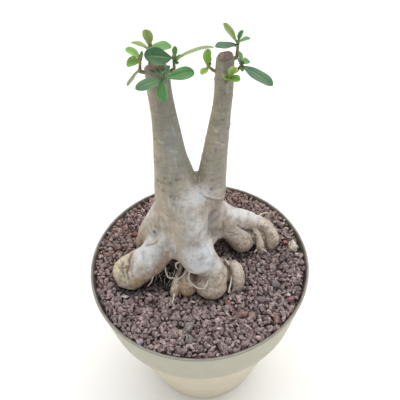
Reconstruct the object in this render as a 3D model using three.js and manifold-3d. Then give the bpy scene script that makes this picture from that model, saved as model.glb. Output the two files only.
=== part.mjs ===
// A potted desert rose (adenium): a swollen trunk on fat roots, two pruned stems with young leafy
// shoots at their tops, a bed of crushed lava stone and a tapered plastic pot.
//
// Millimetres, +Z up. The origin is the middle of the pot's foot, on the surface that it stands on.
// The front of the plant faces -Y.

import * as THREE from "three";
import { mergeVertices } from "three/addons/utils/BufferGeometryUtils.js";
import { edgeTable, triTable } from "three/addons/objects/MarchingCubes.js";
import Module from "manifold-3d";

const wasm = await Module();
wasm.setup();

// ---------------------------------------------------------------- driving dimensions

const POT = {
  height: 168,
  rimRadius: 95,
  bandHeight: 46, // the taller band round the mouth
  bandFootRadius: 89.5,
  bodyTopRadius: 86.5, // the body starts this far in, under the band
  footRadius: 60,
  wall: 2,
  innerStep: 3, // half the height of the slope inside, where the wall steps out under the band
  lip: { foot: 2.6, widest: 1.2, flare: 0.5, round: 0.6, innerRound: 1 }, // the rim's rounding
  bandEdge: { inset: 0.8, rise: 1 }, // the rounding at the band's foot
  footRing: { innerRadius: 54, height: 5, draft: 2 },
  floor: 2.6,
  drains: { radius: 6, ring: 36, count: 5, sides: 12 },
  cutOver: 1, // how far a cut runs past the faces that it opens
  segments: 60,
};

const GRIT = {
  level: 162, // mean height of the bed's top
  clearance: 0.4, // to the pot and to what stands in it
  rootClearance: 1.2, // to the roots, whose faceted sides are only as true as their cells
  pitch: 5.7, // between the points of the relief
  stone: { rise: 1.2, spread: 0.8 }, // the tops of the stones over the mean level
  hollow: { drop: 1.4, spread: 0.7 }, // the hollows between them
  jitter: 1,
  overhang: 4, // how far the relief reaches past the pot's rim before it is trimmed
  bottom: -10, // the relief's underside, well under the bed
  bank: { rise: 3, from: 58, to: 88 }, // against the wall, between two distances from the axis
  mounds: [
    { at: [15, 9], reach: [12, 10], rise: 8 }, // in the corner between the front and right roots
    { at: [-28, -19], reach: [15, 11], rise: -6.5 }, // the hollow under the arch of the left roots
  ],
};

const BARK = {
  cell: 5, // size of the cells in which the surface is worked out
  snap: 0.16, // the share of a cell within which a vertex is put on its corner
  station: 5, // step along a limb
  box: { low: [-81.7, -51.4, 138.3], high: [82, 68, 368] },
};

const SOCKET = { gap: 0.3, reach: 9, sides: 8 };
const CUT_HEIGHT = 40; // of the block that a pruning cut takes away

const LEAF = {
  thickness: 0.7,
  rows: 6,
  smallRows: 4,
  smallUnder: 7, // blades shorter than this have the small number of rows
  halfColumns: 1,
  neck: 0.8, // half width at the foot
  tip: 0.5, // half width at the tip
  widestPower: 1.55, // moves the widest place towards the tip
  fullness: 0.72, // under 1 makes the outline fuller than a sine
  fold: 0.16, // rise of the edges over the midrib, as a share of the half width
  foldPower: 1.5,
};

// Each limb of the trunk is a chain of [x, y, z, radius], joined smoothly to the limbs before it
// over its own blend distance.
const LIMBS = [
  { name: "left stem", blend: 0, chain: [
    [-18.3, 0, 356, 7.3], [-18.6, 0, 332, 7.5], [-17.2, 0, 306, 8.7], [-16.2, 0, 280, 11.5],
    [-14.9, 1, 262, 14.2], [-13.5, 2, 243, 17.5], [-12.5, 3, 222, 19], [-12, 4, 204, 18]] },
  { name: "right stem", blend: 2.5, chain: [
    [21.4, 0, 358, 5.2], [20.8, 0, 334, 5.7], [19.6, 0, 317, 6], [17.8, 0, 303, 7],
    [14.6, 0, 278, 8.9], [12.4, 1, 258, 10.6], [10.6, 3.2, 241, 12.5], [10.3, 9, 227, 11],
    [9, 12.5, 210, 10.5]] },
  { name: "core", blend: 9, chain: [
    [-5, 5, 235, 14], [-4, 10, 214, 16], [-2, 16, 190, 15], [0, 18, 168, 13], [0, 18, 156, 11]] },
  { name: "front root", blend: 9, chain: [
    [-1.5, -5.5, 245.8, 8.5], [-3.2, -8.5, 238, 10.6], [-4.4, -10.5, 226, 11],
    [-3.5, -15.5, 208, 11.4], [-2.5, -20, 198, 11.6], [-2, -23, 191, 10.6]] },
  { name: "web", blend: 8, chain: [
    [-21, -9, 198, 9], [-13.5, -15, 195, 8], [-6.5, -19, 194, 8]] },
  { name: "front bulb", blend: 6, chain: [
    [2.5, -17, 195, 8.5], [7, -22.5, 186, 10], [10, -26, 176.5, 12.4], [8.5, -30, 168.5, 13.2]] },
  { name: "left root", blend: 8, chain: [
    [-16, -2, 206, 13], [-29.6, -5.8, 191, 12.9], [-41.6, -11.3, 180.3, 13.5],
    [-50.5, -14.3, 176.5, 14.4], [-57.8, -17.4, 173.8, 14.8]] },
  { name: "back left root", blend: 6, chain: [
    [-22, 5, 220, 14], [-34, 9, 201, 12], [-42.5, 13, 185, 10], [-48, 17, 174, 7.6],
    [-52, 18.5, 158, 5.6]] },
  { name: "right shoulder", blend: 8, chain: [
    [8, 12, 211, 11.5], [24, 15.5, 196.6, 11.4], [36.5, 19.5, 192.6, 9], [46.5, 21.5, 186, 8.6]] },
  { name: "right web", blend: 7, chain: [
    [1, -9, 197, 8.5], [8, -2, 191, 6.5], [16, 7, 188, 5.2], [24, 11.5, 188.5, 7.5], [30, 13, 185, 9]] },
  { name: "right swelling", blend: 2.6, chain: [
    [14, 12, 192, 6], [24.5, 13.5, 186.5, 8.6], [33, 13, 180.5, 10.8], [38.5, 11.3, 172.3, 11]] },
  { name: "right finger", blend: 1.8, chain: [
    [45, 20, 183, 5], [50.8, 16.5, 178, 4.5], [54, 10.4, 170.8, 4], [55.3, 6.8, 163, 4],
    [56, 6, 155, 3]] },
  { name: "outer right root", blend: 1.8, chain: [
    [47, 24, 181, 7], [56, 25, 178.5, 7.4], [63.6, 20.5, 175, 6.9], [66.4, 15, 168.5, 7],
    [66, 14, 156, 6]] },
  { name: "upright root", blend: 2.5, chain: [
    [13, -8, 176, 2.4], [21, -12, 171, 3], [28.5, -17, 170.5, 6.2], [30.5, -22, 167.5, 6.9],
    [30.5, -28, 161, 5.8], [30.5, -30, 154, 4]] },
  { name: "small bulb", blend: 2, chain: [
    [-6.5, -13, 188, 2.6], [-8.5, -21, 180, 2.8], [-10, -28, 171, 6.2], [-10.5, -31, 165.5, 7.2],
    [-11, -31, 157, 5]] },
  { name: "smallest bulb", blend: 2, chain: [
    [-13, -9, 181, 2], [-17, -20, 172, 2.2], [-20.5, -29.5, 168.6, 3.6], [-22, -33, 163, 3.9],
    [-22, -33, 156, 2.6]] },
  { name: "back root", blend: 9, chain: [
    [-6, 14, 212, 14], [-10, 28, 192, 13], [-16, 38, 178, 13.5], [-20, 44, 168, 12], [-22, 46, 158, 9]] },
  { name: "back right root", blend: 9, chain: [
    [10, 14, 208, 13], [18, 30, 190, 12], [24, 39, 178, 11], [29, 45, 168, 9.5], [32, 48, 158, 7]] },
  { name: "back fork", blend: 5, chain: [
    [2, 26, 196, 9], [4, 38, 182, 7.5], [4, 49, 172, 7.5], [3, 55, 163, 6], [3, 56, 156, 4.5]] },
];

// The pruning cuts: a point on the cut face and the face's slope along X and Y.
const CUTS = [
  { name: "left", at: [-18.4, 0, 345], slope: [-0.05, 0.03], halfWidth: 16 },
  { name: "right", at: [21.2, 0, 349.5], slope: [0.04, 0.06], halfWidth: 12 },
];

// Thin roots on the trunk's underside: a radius and a route.
const ROOTLETS = [
  { name: "hoop under the knee", radius: 0.9, route: [
    [-8, -28, 184], [-9.4, -31, 178], [-6.1, -34.4, 173.6], [-0.9, -38, 173.6], [3.4, -39.2, 176],
    [6, -36, 181]] },
  { name: "loop in the hollow", radius: 0.8, route: [
    [-31, -8, 181], [-29.5, -14, 177], [-28.6, -19, 173], [-26.5, -24, 171.6], [-22.5, -26, 172.8],
    [-19.5, -27, 172.2], [-16.5, -28, 175], [-12.7, -27, 179.2], [-8.5, -23, 181.5]] },
  { name: "curl under the knee", radius: 0.9, route: [
    [-13.5, -13, 190], [-14.7, -19, 186.4], [-17, -20.5, 186.2], [-19, -20.5, 184.5],
    [-19.2, -20.5, 181], [-18.9, -20, 177]] },
  { name: "left prong", radius: 0.8, route: [
    [-35, -15, 178], [-39, -24, 174.5], [-40.8, -27, 170.9], [-44.3, -28, 166.2]] },
  { name: "white thread", radius: 0.7, route: [
    [-22, -34, 165.4], [-22.6, -38.5, 164.8], [-24.3, -45, 164.6]] },
  { name: "straight thread", radius: 0.9, route: [
    [21.5, -12, 176], [25.4, -19, 173], [25.6, -27.5, 168.4], [22.4, -38, 164.6]] },
  { name: "back straw", radius: 0.7, route: [
    [53, 25, 184], [60, 35, 180], [66, 41, 175], [71, 45, 170]] },
  { name: "finger tip left", radius: 1.1, route: [
    [54.3, 8, 166], [51.6, 4.6, 165.2], [49.4, 2.2, 164.8]] },
  { name: "finger tip right", radius: 1.1, route: [
    [55.3, 8, 166], [57.8, 4, 166], [60.4, 1.6, 165.6]] },
  { name: "crotch fibre left", radius: 0.7, route: [
    [0.6, -3, 252], [0.4, -4, 259], [-0.6, -3.6, 264]] },
  { name: "crotch fibre right", radius: 0.7, route: [
    [2.6, -3, 250], [3, -4.6, 258], [3.4, -4.2, 263]] },
];

// Each shoot: its foot inside the stem, the elbow just outside the bark, the knot that its leaves
// spring from, and its leaves as [x, y, z of the base, length, width, heading, pitch, roll, bend],
// with the angles in degrees: heading from +X towards +Y, pitch up, roll about the blade's length.
const SHOOTS = [
  { name: "shoot_left_side",
    foot: [-22, -0.4, 339.5], elbow: [-28.2, -1.2, 343], knot: [-27.2, -2, 350],
    leaves: [
      [-26.8, -2, 351, 12, 5.2, 136, 14, -15, 22],
      [-27.6, -2, 348.7, 9.5, 7, 153, -13, -40, 15],
      [-28.6, -1.8, 344, 13, 5, -122, -20, 25, 14],
      [-26.6, -1.4, 350, 4.5, 2, 70, 60, 0, 10]] },
  { name: "shoot_left_top",
    foot: [-21, 3.4, 338.5], elbow: [-23, 8.6, 343], knot: [-21.8, 5.4, 353.8],
    leaves: [
      [-21.9, 5, 354.4, 12, 6.2, -93, 69, -10, 18],
      [-21.4, 5.4, 353.4, 14, 8, 32, -9, 20, 16],
      [-22.4, 5.4, 353, 12, 5.5, 153, 9, 5, 20],
      [-21.6, 6, 353.6, 7, 3.6, 95, 35, 0, 14]] },
  { name: "shoot_left_inner",
    foot: [-14, 0.6, 339], elbow: [-8.6, 1.6, 342], knot: [-8.4, 1, 348.2],
    leaves: [
      [-9.4, 1, 348.8, 18, 10.8, -150, 19, -50, 14],
      [-7.2, 1, 347.8, 26, 4.8, 25, 3, 0, 34],
      [-8, 0.4, 348, 6, 3.2, -40, 42, 0, 12],
      [-8, 1.8, 348.4, 6.5, 3.4, 75, 58, 0, 12],
      [-7.6, 0.2, 346.8, 5, 2.8, -75, 8, 0, 10],
      [-7.4, 1.6, 346.4, 6, 3, 5, 38, 0, 10]] },
  { name: "shoot_left_front",
    foot: [-17.4, -3.6, 335.5], elbow: [-15.8, -9.4, 338.5], knot: [-14.4, -12, 343.2],
    leaves: [
      [-12.8, -12, 343, 18, 7.9, 28, -3, 40, 18],
      [-15.4, -12.2, 342.2, 18.6, 7.2, -138, 5, -25, 24],
      [-14.8, -12.8, 342, 15, 6.8, -87, -21, 25, 20],
      [-14.8, -11.6, 343.6, 7.5, 4, 130, 24, 5, 12],
      [-13.6, -11.6, 344, 7, 3.5, 60, 36, -10, 12],
      [-14.2, -12.6, 344, 5, 2.2, -60, 60, 0, 8]] },
  { name: "shoot_right_top",
    foot: [23.4, 0.6, 343.5], elbow: [28, 1.6, 347.5], knot: [28.4, 1, 355],
    leaves: [
      [27.4, 1, 356.6, 14.5, 4.6, -153, 53, -65, 14],
      [28.6, 0.8, 354, 15, 7, -156, 9, -10, 22],
      [28.6, 1, 356.6, 8.5, 3.2, -70, 61, -5, 10],
      [29, 1.2, 356.2, 8.5, 3, 35, -2, 20, 12],
      [28.8, 1.6, 356.4, 6, 3, 60, 48, 0, 10]] },
  { name: "shoot_right_outer",
    foot: [23.2, -0.6, 337.6], elbow: [28, -1, 340], knot: [30.8, -1, 343.4],
    leaves: [
      [31.2, -1.2, 342.6, 23, 8, -48, -11, 15, 22],
      [30.6, -0.8, 344.8, 8.4, 3.4, 96, 24, 25, 10],
      [31.4, -0.8, 344.2, 7.4, 4.8, 57, -6, 30, 12],
      [30, -1.2, 344.2, 6, 3.8, -120, 46, -60, 12],
      [31, -1.4, 342.6, 4.5, 2.4, -95, -12, 0, 8]] },
  { name: "shoot_right_front",
    foot: [21.2, -2.6, 333.5], elbow: [21.8, -7.2, 336.4], knot: [22.4, -8.4, 339.6],
    leaves: [
      [22.4, -8.6, 340, 10, 5.4, -55, 55, -40, 12],
      [23, -8.8, 339.4, 8.6, 5, -52, 12, 35, 14],
      [21.8, -8.8, 339.4, 6, 3.6, -130, 32, -50, 10]] },
  { name: "shoot_right_inner",
    foot: [18.6, -0.2, 338.5], elbow: [13.8, -0.6, 341], knot: [11.4, -1, 343.6],
    leaves: [
      [10.8, -1.2, 344, 12, 5.2, -89, 73, 15, 14],
      [11.4, -1.4, 343, 8.4, 4.2, -125, -4, -20, 14],
      [11.6, -0.6, 344, 5, 1.8, 60, 55, 0, 8]] },
];

const TWIG = {
  footRadius: 1.3,
  knotRadius: 1.15,
  straight: 0.75, // the share from foot to elbow that leaves the bark without a bend
  sides: 6,
  budRadius: 1.8,
  stalk: { radii: [0.9, 0.7], sides: 4 },
};

const ROOTLET = { sides: 5, taper: 0.35 };
const WELD = 1e-4; // vertices closer than this are one
const SCATTER = [127.1, 311.7, 74.7, 43758.5453]; // factors of the repeatable random number

// ---------------------------------------------------------------- helpers

const radians = THREE.MathUtils.degToRad;
const point = ([x, y, z]) => new THREE.Vector3(x, y, z);

// A repeatable random number in 0..1 for a cell of the relief.
function seeded(a, b, channel) {
  const [onA, onB, onChannel, stretch] = SCATTER;
  const wave = Math.sin(a * onA + b * onB + channel * onChannel) * stretch;
  return wave - Math.floor(wave);
}

function meshData(positions, faces) {
  return new wasm.Manifold(
    new wasm.Mesh({
      numProp: 3,
      vertProperties: new Float32Array(positions),
      triVerts: new Uint32Array(faces),
    }),
  );
}

// A closed three.js geometry as a solid that can be cut and joined.
function toSolid(geometry) {
  const bare = geometry.clone();
  bare.deleteAttribute("normal");
  bare.deleteAttribute("uv");
  const merged = mergeVertices(bare, WELD);
  return meshData(merged.attributes.position.array, merged.index.array);
}

function toGeometry(solid) {
  const mesh = solid.getMesh();
  const geometry = new THREE.BufferGeometry();
  geometry.setAttribute("position", new THREE.BufferAttribute(mesh.vertProperties, 3));
  geometry.setIndex(new THREE.BufferAttribute(mesh.triVerts, 1));
  geometry.computeVertexNormals();
  return geometry;
}

// The largest body of a solid, without the scraps that a cut leaves.
function largestBody(solid) {
  return solid.decompose().reduce((best, body) => (body.volume() > best.volume() ? body : best));
}

function lathe(profile, segments) {
  const outline = profile.map(([radius, height]) => new THREE.Vector2(radius, height));
  return toSolid(new THREE.LatheGeometry(outline, segments).rotateX(Math.PI / 2));
}

function cylinder(from, to, radius, sides) {
  const start = point(from);
  const along = point(to).sub(start);
  const geometry = new THREE.CylinderGeometry(radius, radius, along.length(), sides);
  const turn = new THREE.Quaternion().setFromUnitVectors(
    new THREE.Vector3(0, 1, 0),
    along.clone().normalize(),
  );
  geometry.applyQuaternion(turn);
  geometry.translate(...start.addScaledVector(along, 0.5));
  return toSolid(geometry);
}

// A closed tube of flat sides through stations, each with its own radius. The section is carried
// along without twist.
function tube(stations, radii, sides) {
  const centres = stations.map(point);
  const last = centres.length - 1;
  const positions = [];
  const faces = [];
  const tangentAt = (i) =>
    centres[Math.min(i + 1, last)].clone().sub(centres[Math.max(i - 1, 0)]).normalize();
  const upright = Math.abs(tangentAt(0).z) > 0.9;
  let across = new THREE.Vector3(upright ? 1 : 0, 0, upright ? 0 : 1);
  centres.forEach((centre, i) => {
    const tangent = tangentAt(i);
    across = across.clone().addScaledVector(tangent, -across.dot(tangent)).normalize();
    const other = tangent.clone().cross(across);
    for (let k = 0; k < sides; k++) {
      const turn = (2 * Math.PI * k) / sides;
      const corner = centre
        .clone()
        .addScaledVector(across, radii[i] * Math.cos(turn))
        .addScaledVector(other, radii[i] * Math.sin(turn));
      positions.push(...corner);
    }
  });
  for (let i = 0; i < last; i++)
    for (let k = 0; k < sides; k++) {
      const next = (k + 1) % sides;
      const [a, b] = [i * sides + k, i * sides + next];
      const [c, d] = [a + sides, b + sides];
      faces.push(a, b, d, a, d, c);
    }
  const startCap = positions.length / 3;
  positions.push(...centres[0], ...centres[last]);
  for (let k = 0; k < sides; k++) {
    const next = (k + 1) % sides;
    faces.push(startCap, next, k);
    faces.push(startCap + 1, last * sides + k, last * sides + next);
  }
  return meshData(positions, faces);
}

// A closed slab between an upper and a lower sheet of rows by columns of points. Both sheets are
// split into triangles alike; turned(i, j) picks the other diagonal of a cell.
function slab(rows, columns, upper, lower, turned) {
  const positions = [];
  const faces = [];
  for (const sheet of [upper, lower])
    for (let i = 0; i < rows; i++) for (let j = 0; j < columns; j++) positions.push(...sheet(i, j));
  const at = (sheet, i, j) => (sheet * rows + i) * columns + j;
  for (let i = 0; i < rows - 1; i++)
    for (let j = 0; j < columns - 1; j++) {
      const corners = (s) => [at(s, i, j), at(s, i, j + 1), at(s, i + 1, j + 1), at(s, i + 1, j)];
      const [a, b, c, d] = corners(0);
      const [e, f, g, h] = corners(1);
      if (turned(i, j)) faces.push(a, b, d, b, c, d, f, e, h, f, h, g);
      else faces.push(a, b, c, a, c, d, f, e, g, g, e, h);
    }
  const border = [];
  for (let j = 0; j < columns - 1; j++) border.push([0, j]);
  for (let i = 0; i < rows - 1; i++) border.push([i, columns - 1]);
  for (let j = columns - 1; j > 0; j--) border.push([rows - 1, j]);
  for (let i = rows - 1; i > 0; i--) border.push([i, 0]);
  border.forEach(([i, j], n) => {
    const [k, m] = border[(n + 1) % border.length];
    const [a, b] = [at(0, i, j), at(0, k, m)];
    const [c, d] = [at(1, i, j), at(1, k, m)];
    faces.push(b, a, c, b, c, d);
  });
  const solid = meshData(positions, faces);
  if (solid.volume() >= 0) return solid;
  const reversed = [];
  for (let i = 0; i < faces.length; i += 3) reversed.push(faces[i], faces[i + 2], faces[i + 1]);
  return meshData(positions, reversed);
}

// ---------------------------------------------------------------- the trunk's shape

// The stations of a limb: a smooth curve through its chain, and the radius at each.
function stationsOf(chain) {
  const centres = new THREE.CatmullRomCurve3(chain.map(point), false, "catmullrom", 0.5);
  const widths = chain.map(([, , , radius]) => new THREE.Vector3(radius, 0, 0));
  const radii = new THREE.CatmullRomCurve3(widths, false, "catmullrom", 0.5);
  const stations = [];
  const steps = chain.length - 1;
  for (let i = 0; i < steps; i++) {
    const pieces = Math.max(1, Math.ceil(point(chain[i + 1]).distanceTo(point(chain[i])) / BARK.station));
    for (let j = 0; j < pieces; j++) {
      const t = (i + j / pieces) / steps;
      stations.push([...centres.getPoint(t), radii.getPoint(t).x]);
    }
  }
  stations.push(chain[steps]);
  return stations;
}

const limbs = LIMBS.map(({ blend, chain }) => ({ blend, stations: stationsOf(chain) }));

// The distance from a point to a limb: to the nearest of its round-ended, tapered links.
function distanceToLimb(stations, x, y, z) {
  let nearest = Infinity;
  for (let i = 0; i < stations.length - 1; i++) {
    const [ax, ay, az, ar] = stations[i];
    const [bx, by, bz, br] = stations[i + 1];
    const [lx, ly, lz] = [bx - ax, by - ay, bz - az];
    const [px, py, pz] = [x - ax, y - ay, z - az];
    const share = Math.min(1, Math.max(0, (px * lx + py * ly + pz * lz) / (lx * lx + ly * ly + lz * lz)));
    const gap = Math.hypot(px - share * lx, py - share * ly, pz - share * lz);
    nearest = Math.min(nearest, gap - (ar + (br - ar) * share));
  }
  return nearest;
}

// The distance to the whole trunk: the smallest of the limbs' distances, rounded where two are
// about equal, so that each limb grows out of the others.
function distanceToTrunk(x, y, z) {
  let total = Infinity;
  for (const { blend, stations } of limbs) {
    const here = distanceToLimb(stations, x, y, z);
    const near = blend > 0 && total < Infinity ? Math.max(blend - Math.abs(total - here), 0) / blend : 0;
    total = Math.min(total, here) - (near * near * blend) / 4;
  }
  return total;
}

// The distances on a grid of cells, worked out once and read at each level.
const grid = (() => {
  const { low, high } = BARK.box;
  const counts = low.map((from, axis) => Math.ceil((high[axis] - from) / BARK.cell) + 1);
  const values = new Float32Array(counts[0] * counts[1] * counts[2]);
  let n = 0;
  for (let k = 0; k < counts[2]; k++)
    for (let j = 0; j < counts[1]; j++)
      for (let i = 0; i < counts[0]; i++)
        values[n++] = distanceToTrunk(
          low[0] + i * BARK.cell,
          low[1] + j * BARK.cell,
          low[2] + k * BARK.cell,
        );
  return { low, counts, values };
})();

// The surface at a given distance from the trunk, by marching through the grid's cells.
function trunkGrownBy(level) {
  const { low, counts, values } = grid;
  const [nx, ny, nz] = counts;
  const indexOf = (i, j, k) => (k * ny + j) * nx + i;
  const CORNERS = [
    [0, 0, 0], [1, 0, 0], [1, 1, 0], [0, 1, 0], [0, 0, 1], [1, 0, 1], [1, 1, 1], [0, 1, 1],
  ];
  const EDGES = [
    [0, 1], [1, 2], [2, 3], [3, 0], [4, 5], [5, 6], [6, 7], [7, 4], [0, 4], [1, 5], [2, 6], [3, 7],
  ];
  const positions = [];
  const faces = [];
  const made = new Map();
  // A crossing that lies close to a corner of the grid is put on the corner itself, once for all the
  // edges that meet there, which leaves out the thinnest triangles.
  const vertexOn = (a, b) => {
    const [ia, ib] = [indexOf(...a), indexOf(...b)];
    const share = (level - values[ia]) / (values[ib] - values[ia]);
    const axis = a[0] !== b[0] ? 0 : a[1] !== b[1] ? 1 : 2;
    let key = Math.min(ia, ib) * 4 + axis;
    if (share < BARK.snap) key = ia * 4 + 3;
    if (share > 1 - BARK.snap) key = ib * 4 + 3;
    if (!made.has(key)) {
      made.set(key, positions.length / 3);
      positions.push(...a.map((from, n) => low[n] + BARK.cell * (from + (b[n] - from) * share)));
    }
    return made.get(key);
  };
  for (let k = 0; k < nz - 1; k++)
    for (let j = 0; j < ny - 1; j++)
      for (let i = 0; i < nx - 1; i++) {
        const corners = CORNERS.map(([x, y, z]) => [i + x, j + y, k + z]);
        let pattern = 0;
        corners.forEach((corner, bit) => {
          if (values[indexOf(...corner)] < level) pattern |= 1 << bit;
        });
        if (edgeTable[pattern] === 0) continue;
        for (let n = pattern * 16; triTable[n] !== -1; n += 3) {
          const [p, q, r] = [0, 1, 2].map((offset) => {
            const [a, b] = EDGES[triTable[n + offset]];
            return vertexOn(corners[a], corners[b]);
          });
          if (p !== q && q !== r && r !== p) faces.push(p, r, q);
        }
      }
  return meshData(positions, faces);
}

// Thin roots, as tubes that taper a little towards their ends.
function rootlets(extra) {
  return ROOTLETS.map(({ radius, route }) => {
    const radii = route.map((_, i) => radius * (1 - (ROOTLET.taper * i) / (route.length - 1)) + extra);
    return tube(route, radii, ROOTLET.sides);
  });
}

// What a pruning cut takes away: everything over its sloping face.
function cutAway({ at: [x, y, z], slope: [alongX, alongY], halfWidth }) {
  const block = new THREE.BoxGeometry(2 * halfWidth, 2 * halfWidth, CUT_HEIGHT);
  block.translate(0, 0, CUT_HEIGHT / 2);
  const place = block.attributes.position;
  for (let i = 0; i < place.count; i++)
    place.setZ(i, place.getZ(i) + alongX * place.getX(i) + alongY * place.getY(i));
  block.translate(x, y, z);
  return toSolid(block);
}

// The plain hole that a shoot's foot sits in.
function socket({ foot, elbow }) {
  const along = point(elbow).sub(point(foot)).normalize();
  const start = point(foot).addScaledVector(along, -SOCKET.gap);
  const end = point(foot).addScaledVector(along, SOCKET.reach);
  const radius = (TWIG.footRadius + SOCKET.gap) / Math.cos(Math.PI / SOCKET.sides);
  return cylinder([...start], [...end], radius, SOCKET.sides);
}

function makeCaudex() {
  let solid = trunkGrownBy(0);
  for (const rootlet of rootlets(0)) solid = solid.add(rootlet);
  for (const cut of CUTS) solid = solid.subtract(cutAway(cut));
  for (const shoot of SHOOTS) solid = solid.subtract(socket(shoot));
  return largestBody(solid);
}

// ---------------------------------------------------------------- pot

// The radius of the pot's outer side under the band, and of the band, at a height.
const bodyRadiusAt = (z) =>
  POT.footRadius + ((POT.bodyTopRadius - POT.footRadius) * z) / (POT.height - POT.bandHeight);
const bandRadiusAt = (z) =>
  POT.bandFootRadius +
  ((POT.rimRadius - POT.bandFootRadius) * (z - POT.height + POT.bandHeight)) / POT.bandHeight;

const BAND_FOOT = POT.height - POT.bandHeight;
const FLOOR_TOP = POT.footRing.height + POT.floor;

// The inner side, from the floor up to the rim, as [radius, height].
function innerSide(inset) {
  const step = POT.innerStep;
  const mouth = POT.height - POT.lip.innerRound;
  return [
    [bodyRadiusAt(FLOOR_TOP) - POT.wall - inset, FLOOR_TOP + inset],
    [bodyRadiusAt(BAND_FOOT - step) - POT.wall - inset, BAND_FOOT - step],
    [bandRadiusAt(BAND_FOOT + step) - POT.wall - inset, BAND_FOOT + step],
    [bandRadiusAt(mouth) - POT.wall - inset, mouth],
  ];
}

function makePot() {
  const { footRing, bandEdge, lip, drains } = POT;
  const shell = lathe(
    [
      [0, footRing.height],
      [footRing.innerRadius - footRing.draft, footRing.height],
      [footRing.innerRadius, 0],
      [POT.footRadius, 0],
      [bodyRadiusAt(BAND_FOOT), BAND_FOOT],
      [POT.bandFootRadius - bandEdge.inset, BAND_FOOT],
      [POT.bandFootRadius, BAND_FOOT + bandEdge.rise],
      [POT.rimRadius - lip.flare, POT.height - lip.foot],
      [POT.rimRadius, POT.height - lip.widest],
      [POT.rimRadius - lip.round, POT.height],
      [POT.rimRadius - POT.wall, POT.height],
      ...innerSide(0).reverse(),
      [0, FLOOR_TOP],
    ],
    POT.segments,
  );
  const drainAt = (x, y) =>
    cylinder(
      [x, y, footRing.height - POT.cutOver],
      [x, y, FLOOR_TOP + POT.cutOver],
      drains.radius,
      drains.sides,
    );
  let pot = shell.subtract(drainAt(0, 0));
  for (let i = 0; i < drains.count; i++) {
    const turn = (2 * Math.PI * i) / drains.count;
    pot = pot.subtract(drainAt(drains.ring * Math.cos(turn), drains.ring * Math.sin(turn)));
  }
  return pot;
}

// ---------------------------------------------------------------- grit

// How far the bed rises over its level at a place: banked against the wall, and a mound or hollow
// that fades out from its middle.
function bedRise(x, y) {
  const { bank, mounds } = GRIT;
  const atWall = bank.rise * THREE.MathUtils.smoothstep(Math.hypot(x, y), bank.from, bank.to);
  return mounds.reduce((sum, { at, reach, rise }) => {
    const away = ((x - at[0]) / reach[0]) ** 2 + ((y - at[1]) / reach[1]) ** 2;
    return sum + rise * Math.exp(-away);
  }, atWall);
}

// The bed's top is a relief of pointed stones on a triangular lattice: every third point is a
// stone's top and the other two are the hollows round it, all moved a little at random.
function gritRelief() {
  const rowPitch = GRIT.pitch * Math.sqrt(0.75);
  const reach = POT.rimRadius + GRIT.overhang;
  const rows = 2 * Math.ceil(reach / rowPitch) + 1;
  const columns = 2 * Math.ceil(reach / GRIT.pitch) + 2;
  const place = (i, j) => {
    const x = (j + (i % 2) / 2 - (columns - 1) / 2) * GRIT.pitch;
    const y = (i - (rows - 1) / 2) * rowPitch;
    return [
      x + GRIT.jitter * (2 * seeded(i, j, 1) - 1),
      y + GRIT.jitter * (2 * seeded(i, j, 2) - 1),
    ];
  };
  const isStone = (i, j) => (((j - Math.floor(i / 2) - i) % 3) + 3) % 3 === 0;
  const upper = (i, j) => {
    const lift = isStone(i, j)
      ? GRIT.stone.rise + GRIT.stone.spread * (2 * seeded(i, j, 3) - 1)
      : -GRIT.hollow.drop + GRIT.hollow.spread * (2 * seeded(i, j, 4) - 1);
    const [x, y] = place(i, j);
    return [x, y, GRIT.level + bedRise(x, y) + lift];
  };
  const lower = (i, j) => [...place(i, j), GRIT.bottom];
  return slab(rows, columns, upper, lower, (i) => i % 2 === 0);
}

function makeGrit() {
  const side = innerSide(GRIT.clearance);
  const [, top] = side[side.length - 1];
  const filling = lathe([[0, FLOOR_TOP + GRIT.clearance], ...side, [0, top]], POT.segments);
  let bed = filling.intersect(gritRelief()).subtract(trunkGrownBy(GRIT.rootClearance));
  for (const rootlet of rootlets(GRIT.clearance)) bed = bed.subtract(rootlet);
  return largestBody(bed);
}

// ---------------------------------------------------------------- shoots

// Half of a blade's width at a share of its length: a narrow neck that widens to its most at about
// two thirds and closes in a round tip.
function halfWidthAt(share, width) {
  const swell = Math.sin(Math.PI * share ** LEAF.widestPower) ** LEAF.fullness;
  const neck = LEAF.neck + (LEAF.tip - LEAF.neck) * share;
  return Math.max(neck, (width / 2) * swell);
}

// A leaf: a blade of even thickness whose midrib is an arc in the upright plane of its heading, bent
// down along its length, folded up a little to both sides of the midrib, and rolled about its length.
function leaf([x, y, z, length, width, heading, pitch, roll, bend]) {
  const [h, p, r, arc] = [heading, pitch, roll, bend].map(radians);
  const along = new THREE.Vector3(Math.cos(p) * Math.cos(h), Math.cos(p) * Math.sin(h), Math.sin(p));
  const flatSide = new THREE.Vector3(-Math.sin(h), Math.cos(h), 0);
  const flatUp = along.clone().cross(flatSide);
  const side = flatSide.clone().multiplyScalar(Math.cos(r)).addScaledVector(flatUp, Math.sin(r));
  const up = along.clone().cross(side);
  const columns = 2 * LEAF.halfColumns + 1;
  const rows = length < LEAF.smallUnder ? LEAF.smallRows : LEAF.rows;
  const sheet = (offset) => (i, j) => {
    const share = i / rows;
    const across = (j - LEAF.halfColumns) / LEAF.halfColumns;
    const angle = arc / 2 - arc * share;
    const run = (length * (Math.sin(arc / 2) - Math.sin(angle))) / arc;
    const rise = (length * (Math.cos(angle) - Math.cos(arc / 2))) / arc;
    const half = halfWidthAt(share, width);
    const fold = LEAF.fold * half * Math.abs(across) ** LEAF.foldPower;
    return [
      ...new THREE.Vector3(x, y, z)
        .addScaledVector(along, run - offset * Math.sin(angle))
        .addScaledVector(up, rise + fold + offset * Math.cos(angle))
        .addScaledVector(side, half * across),
    ];
  };
  const half = LEAF.thickness / 2;
  return slab(rows + 1, columns, sheet(half), sheet(-half), (i, j) => j >= LEAF.halfColumns);
}

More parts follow.
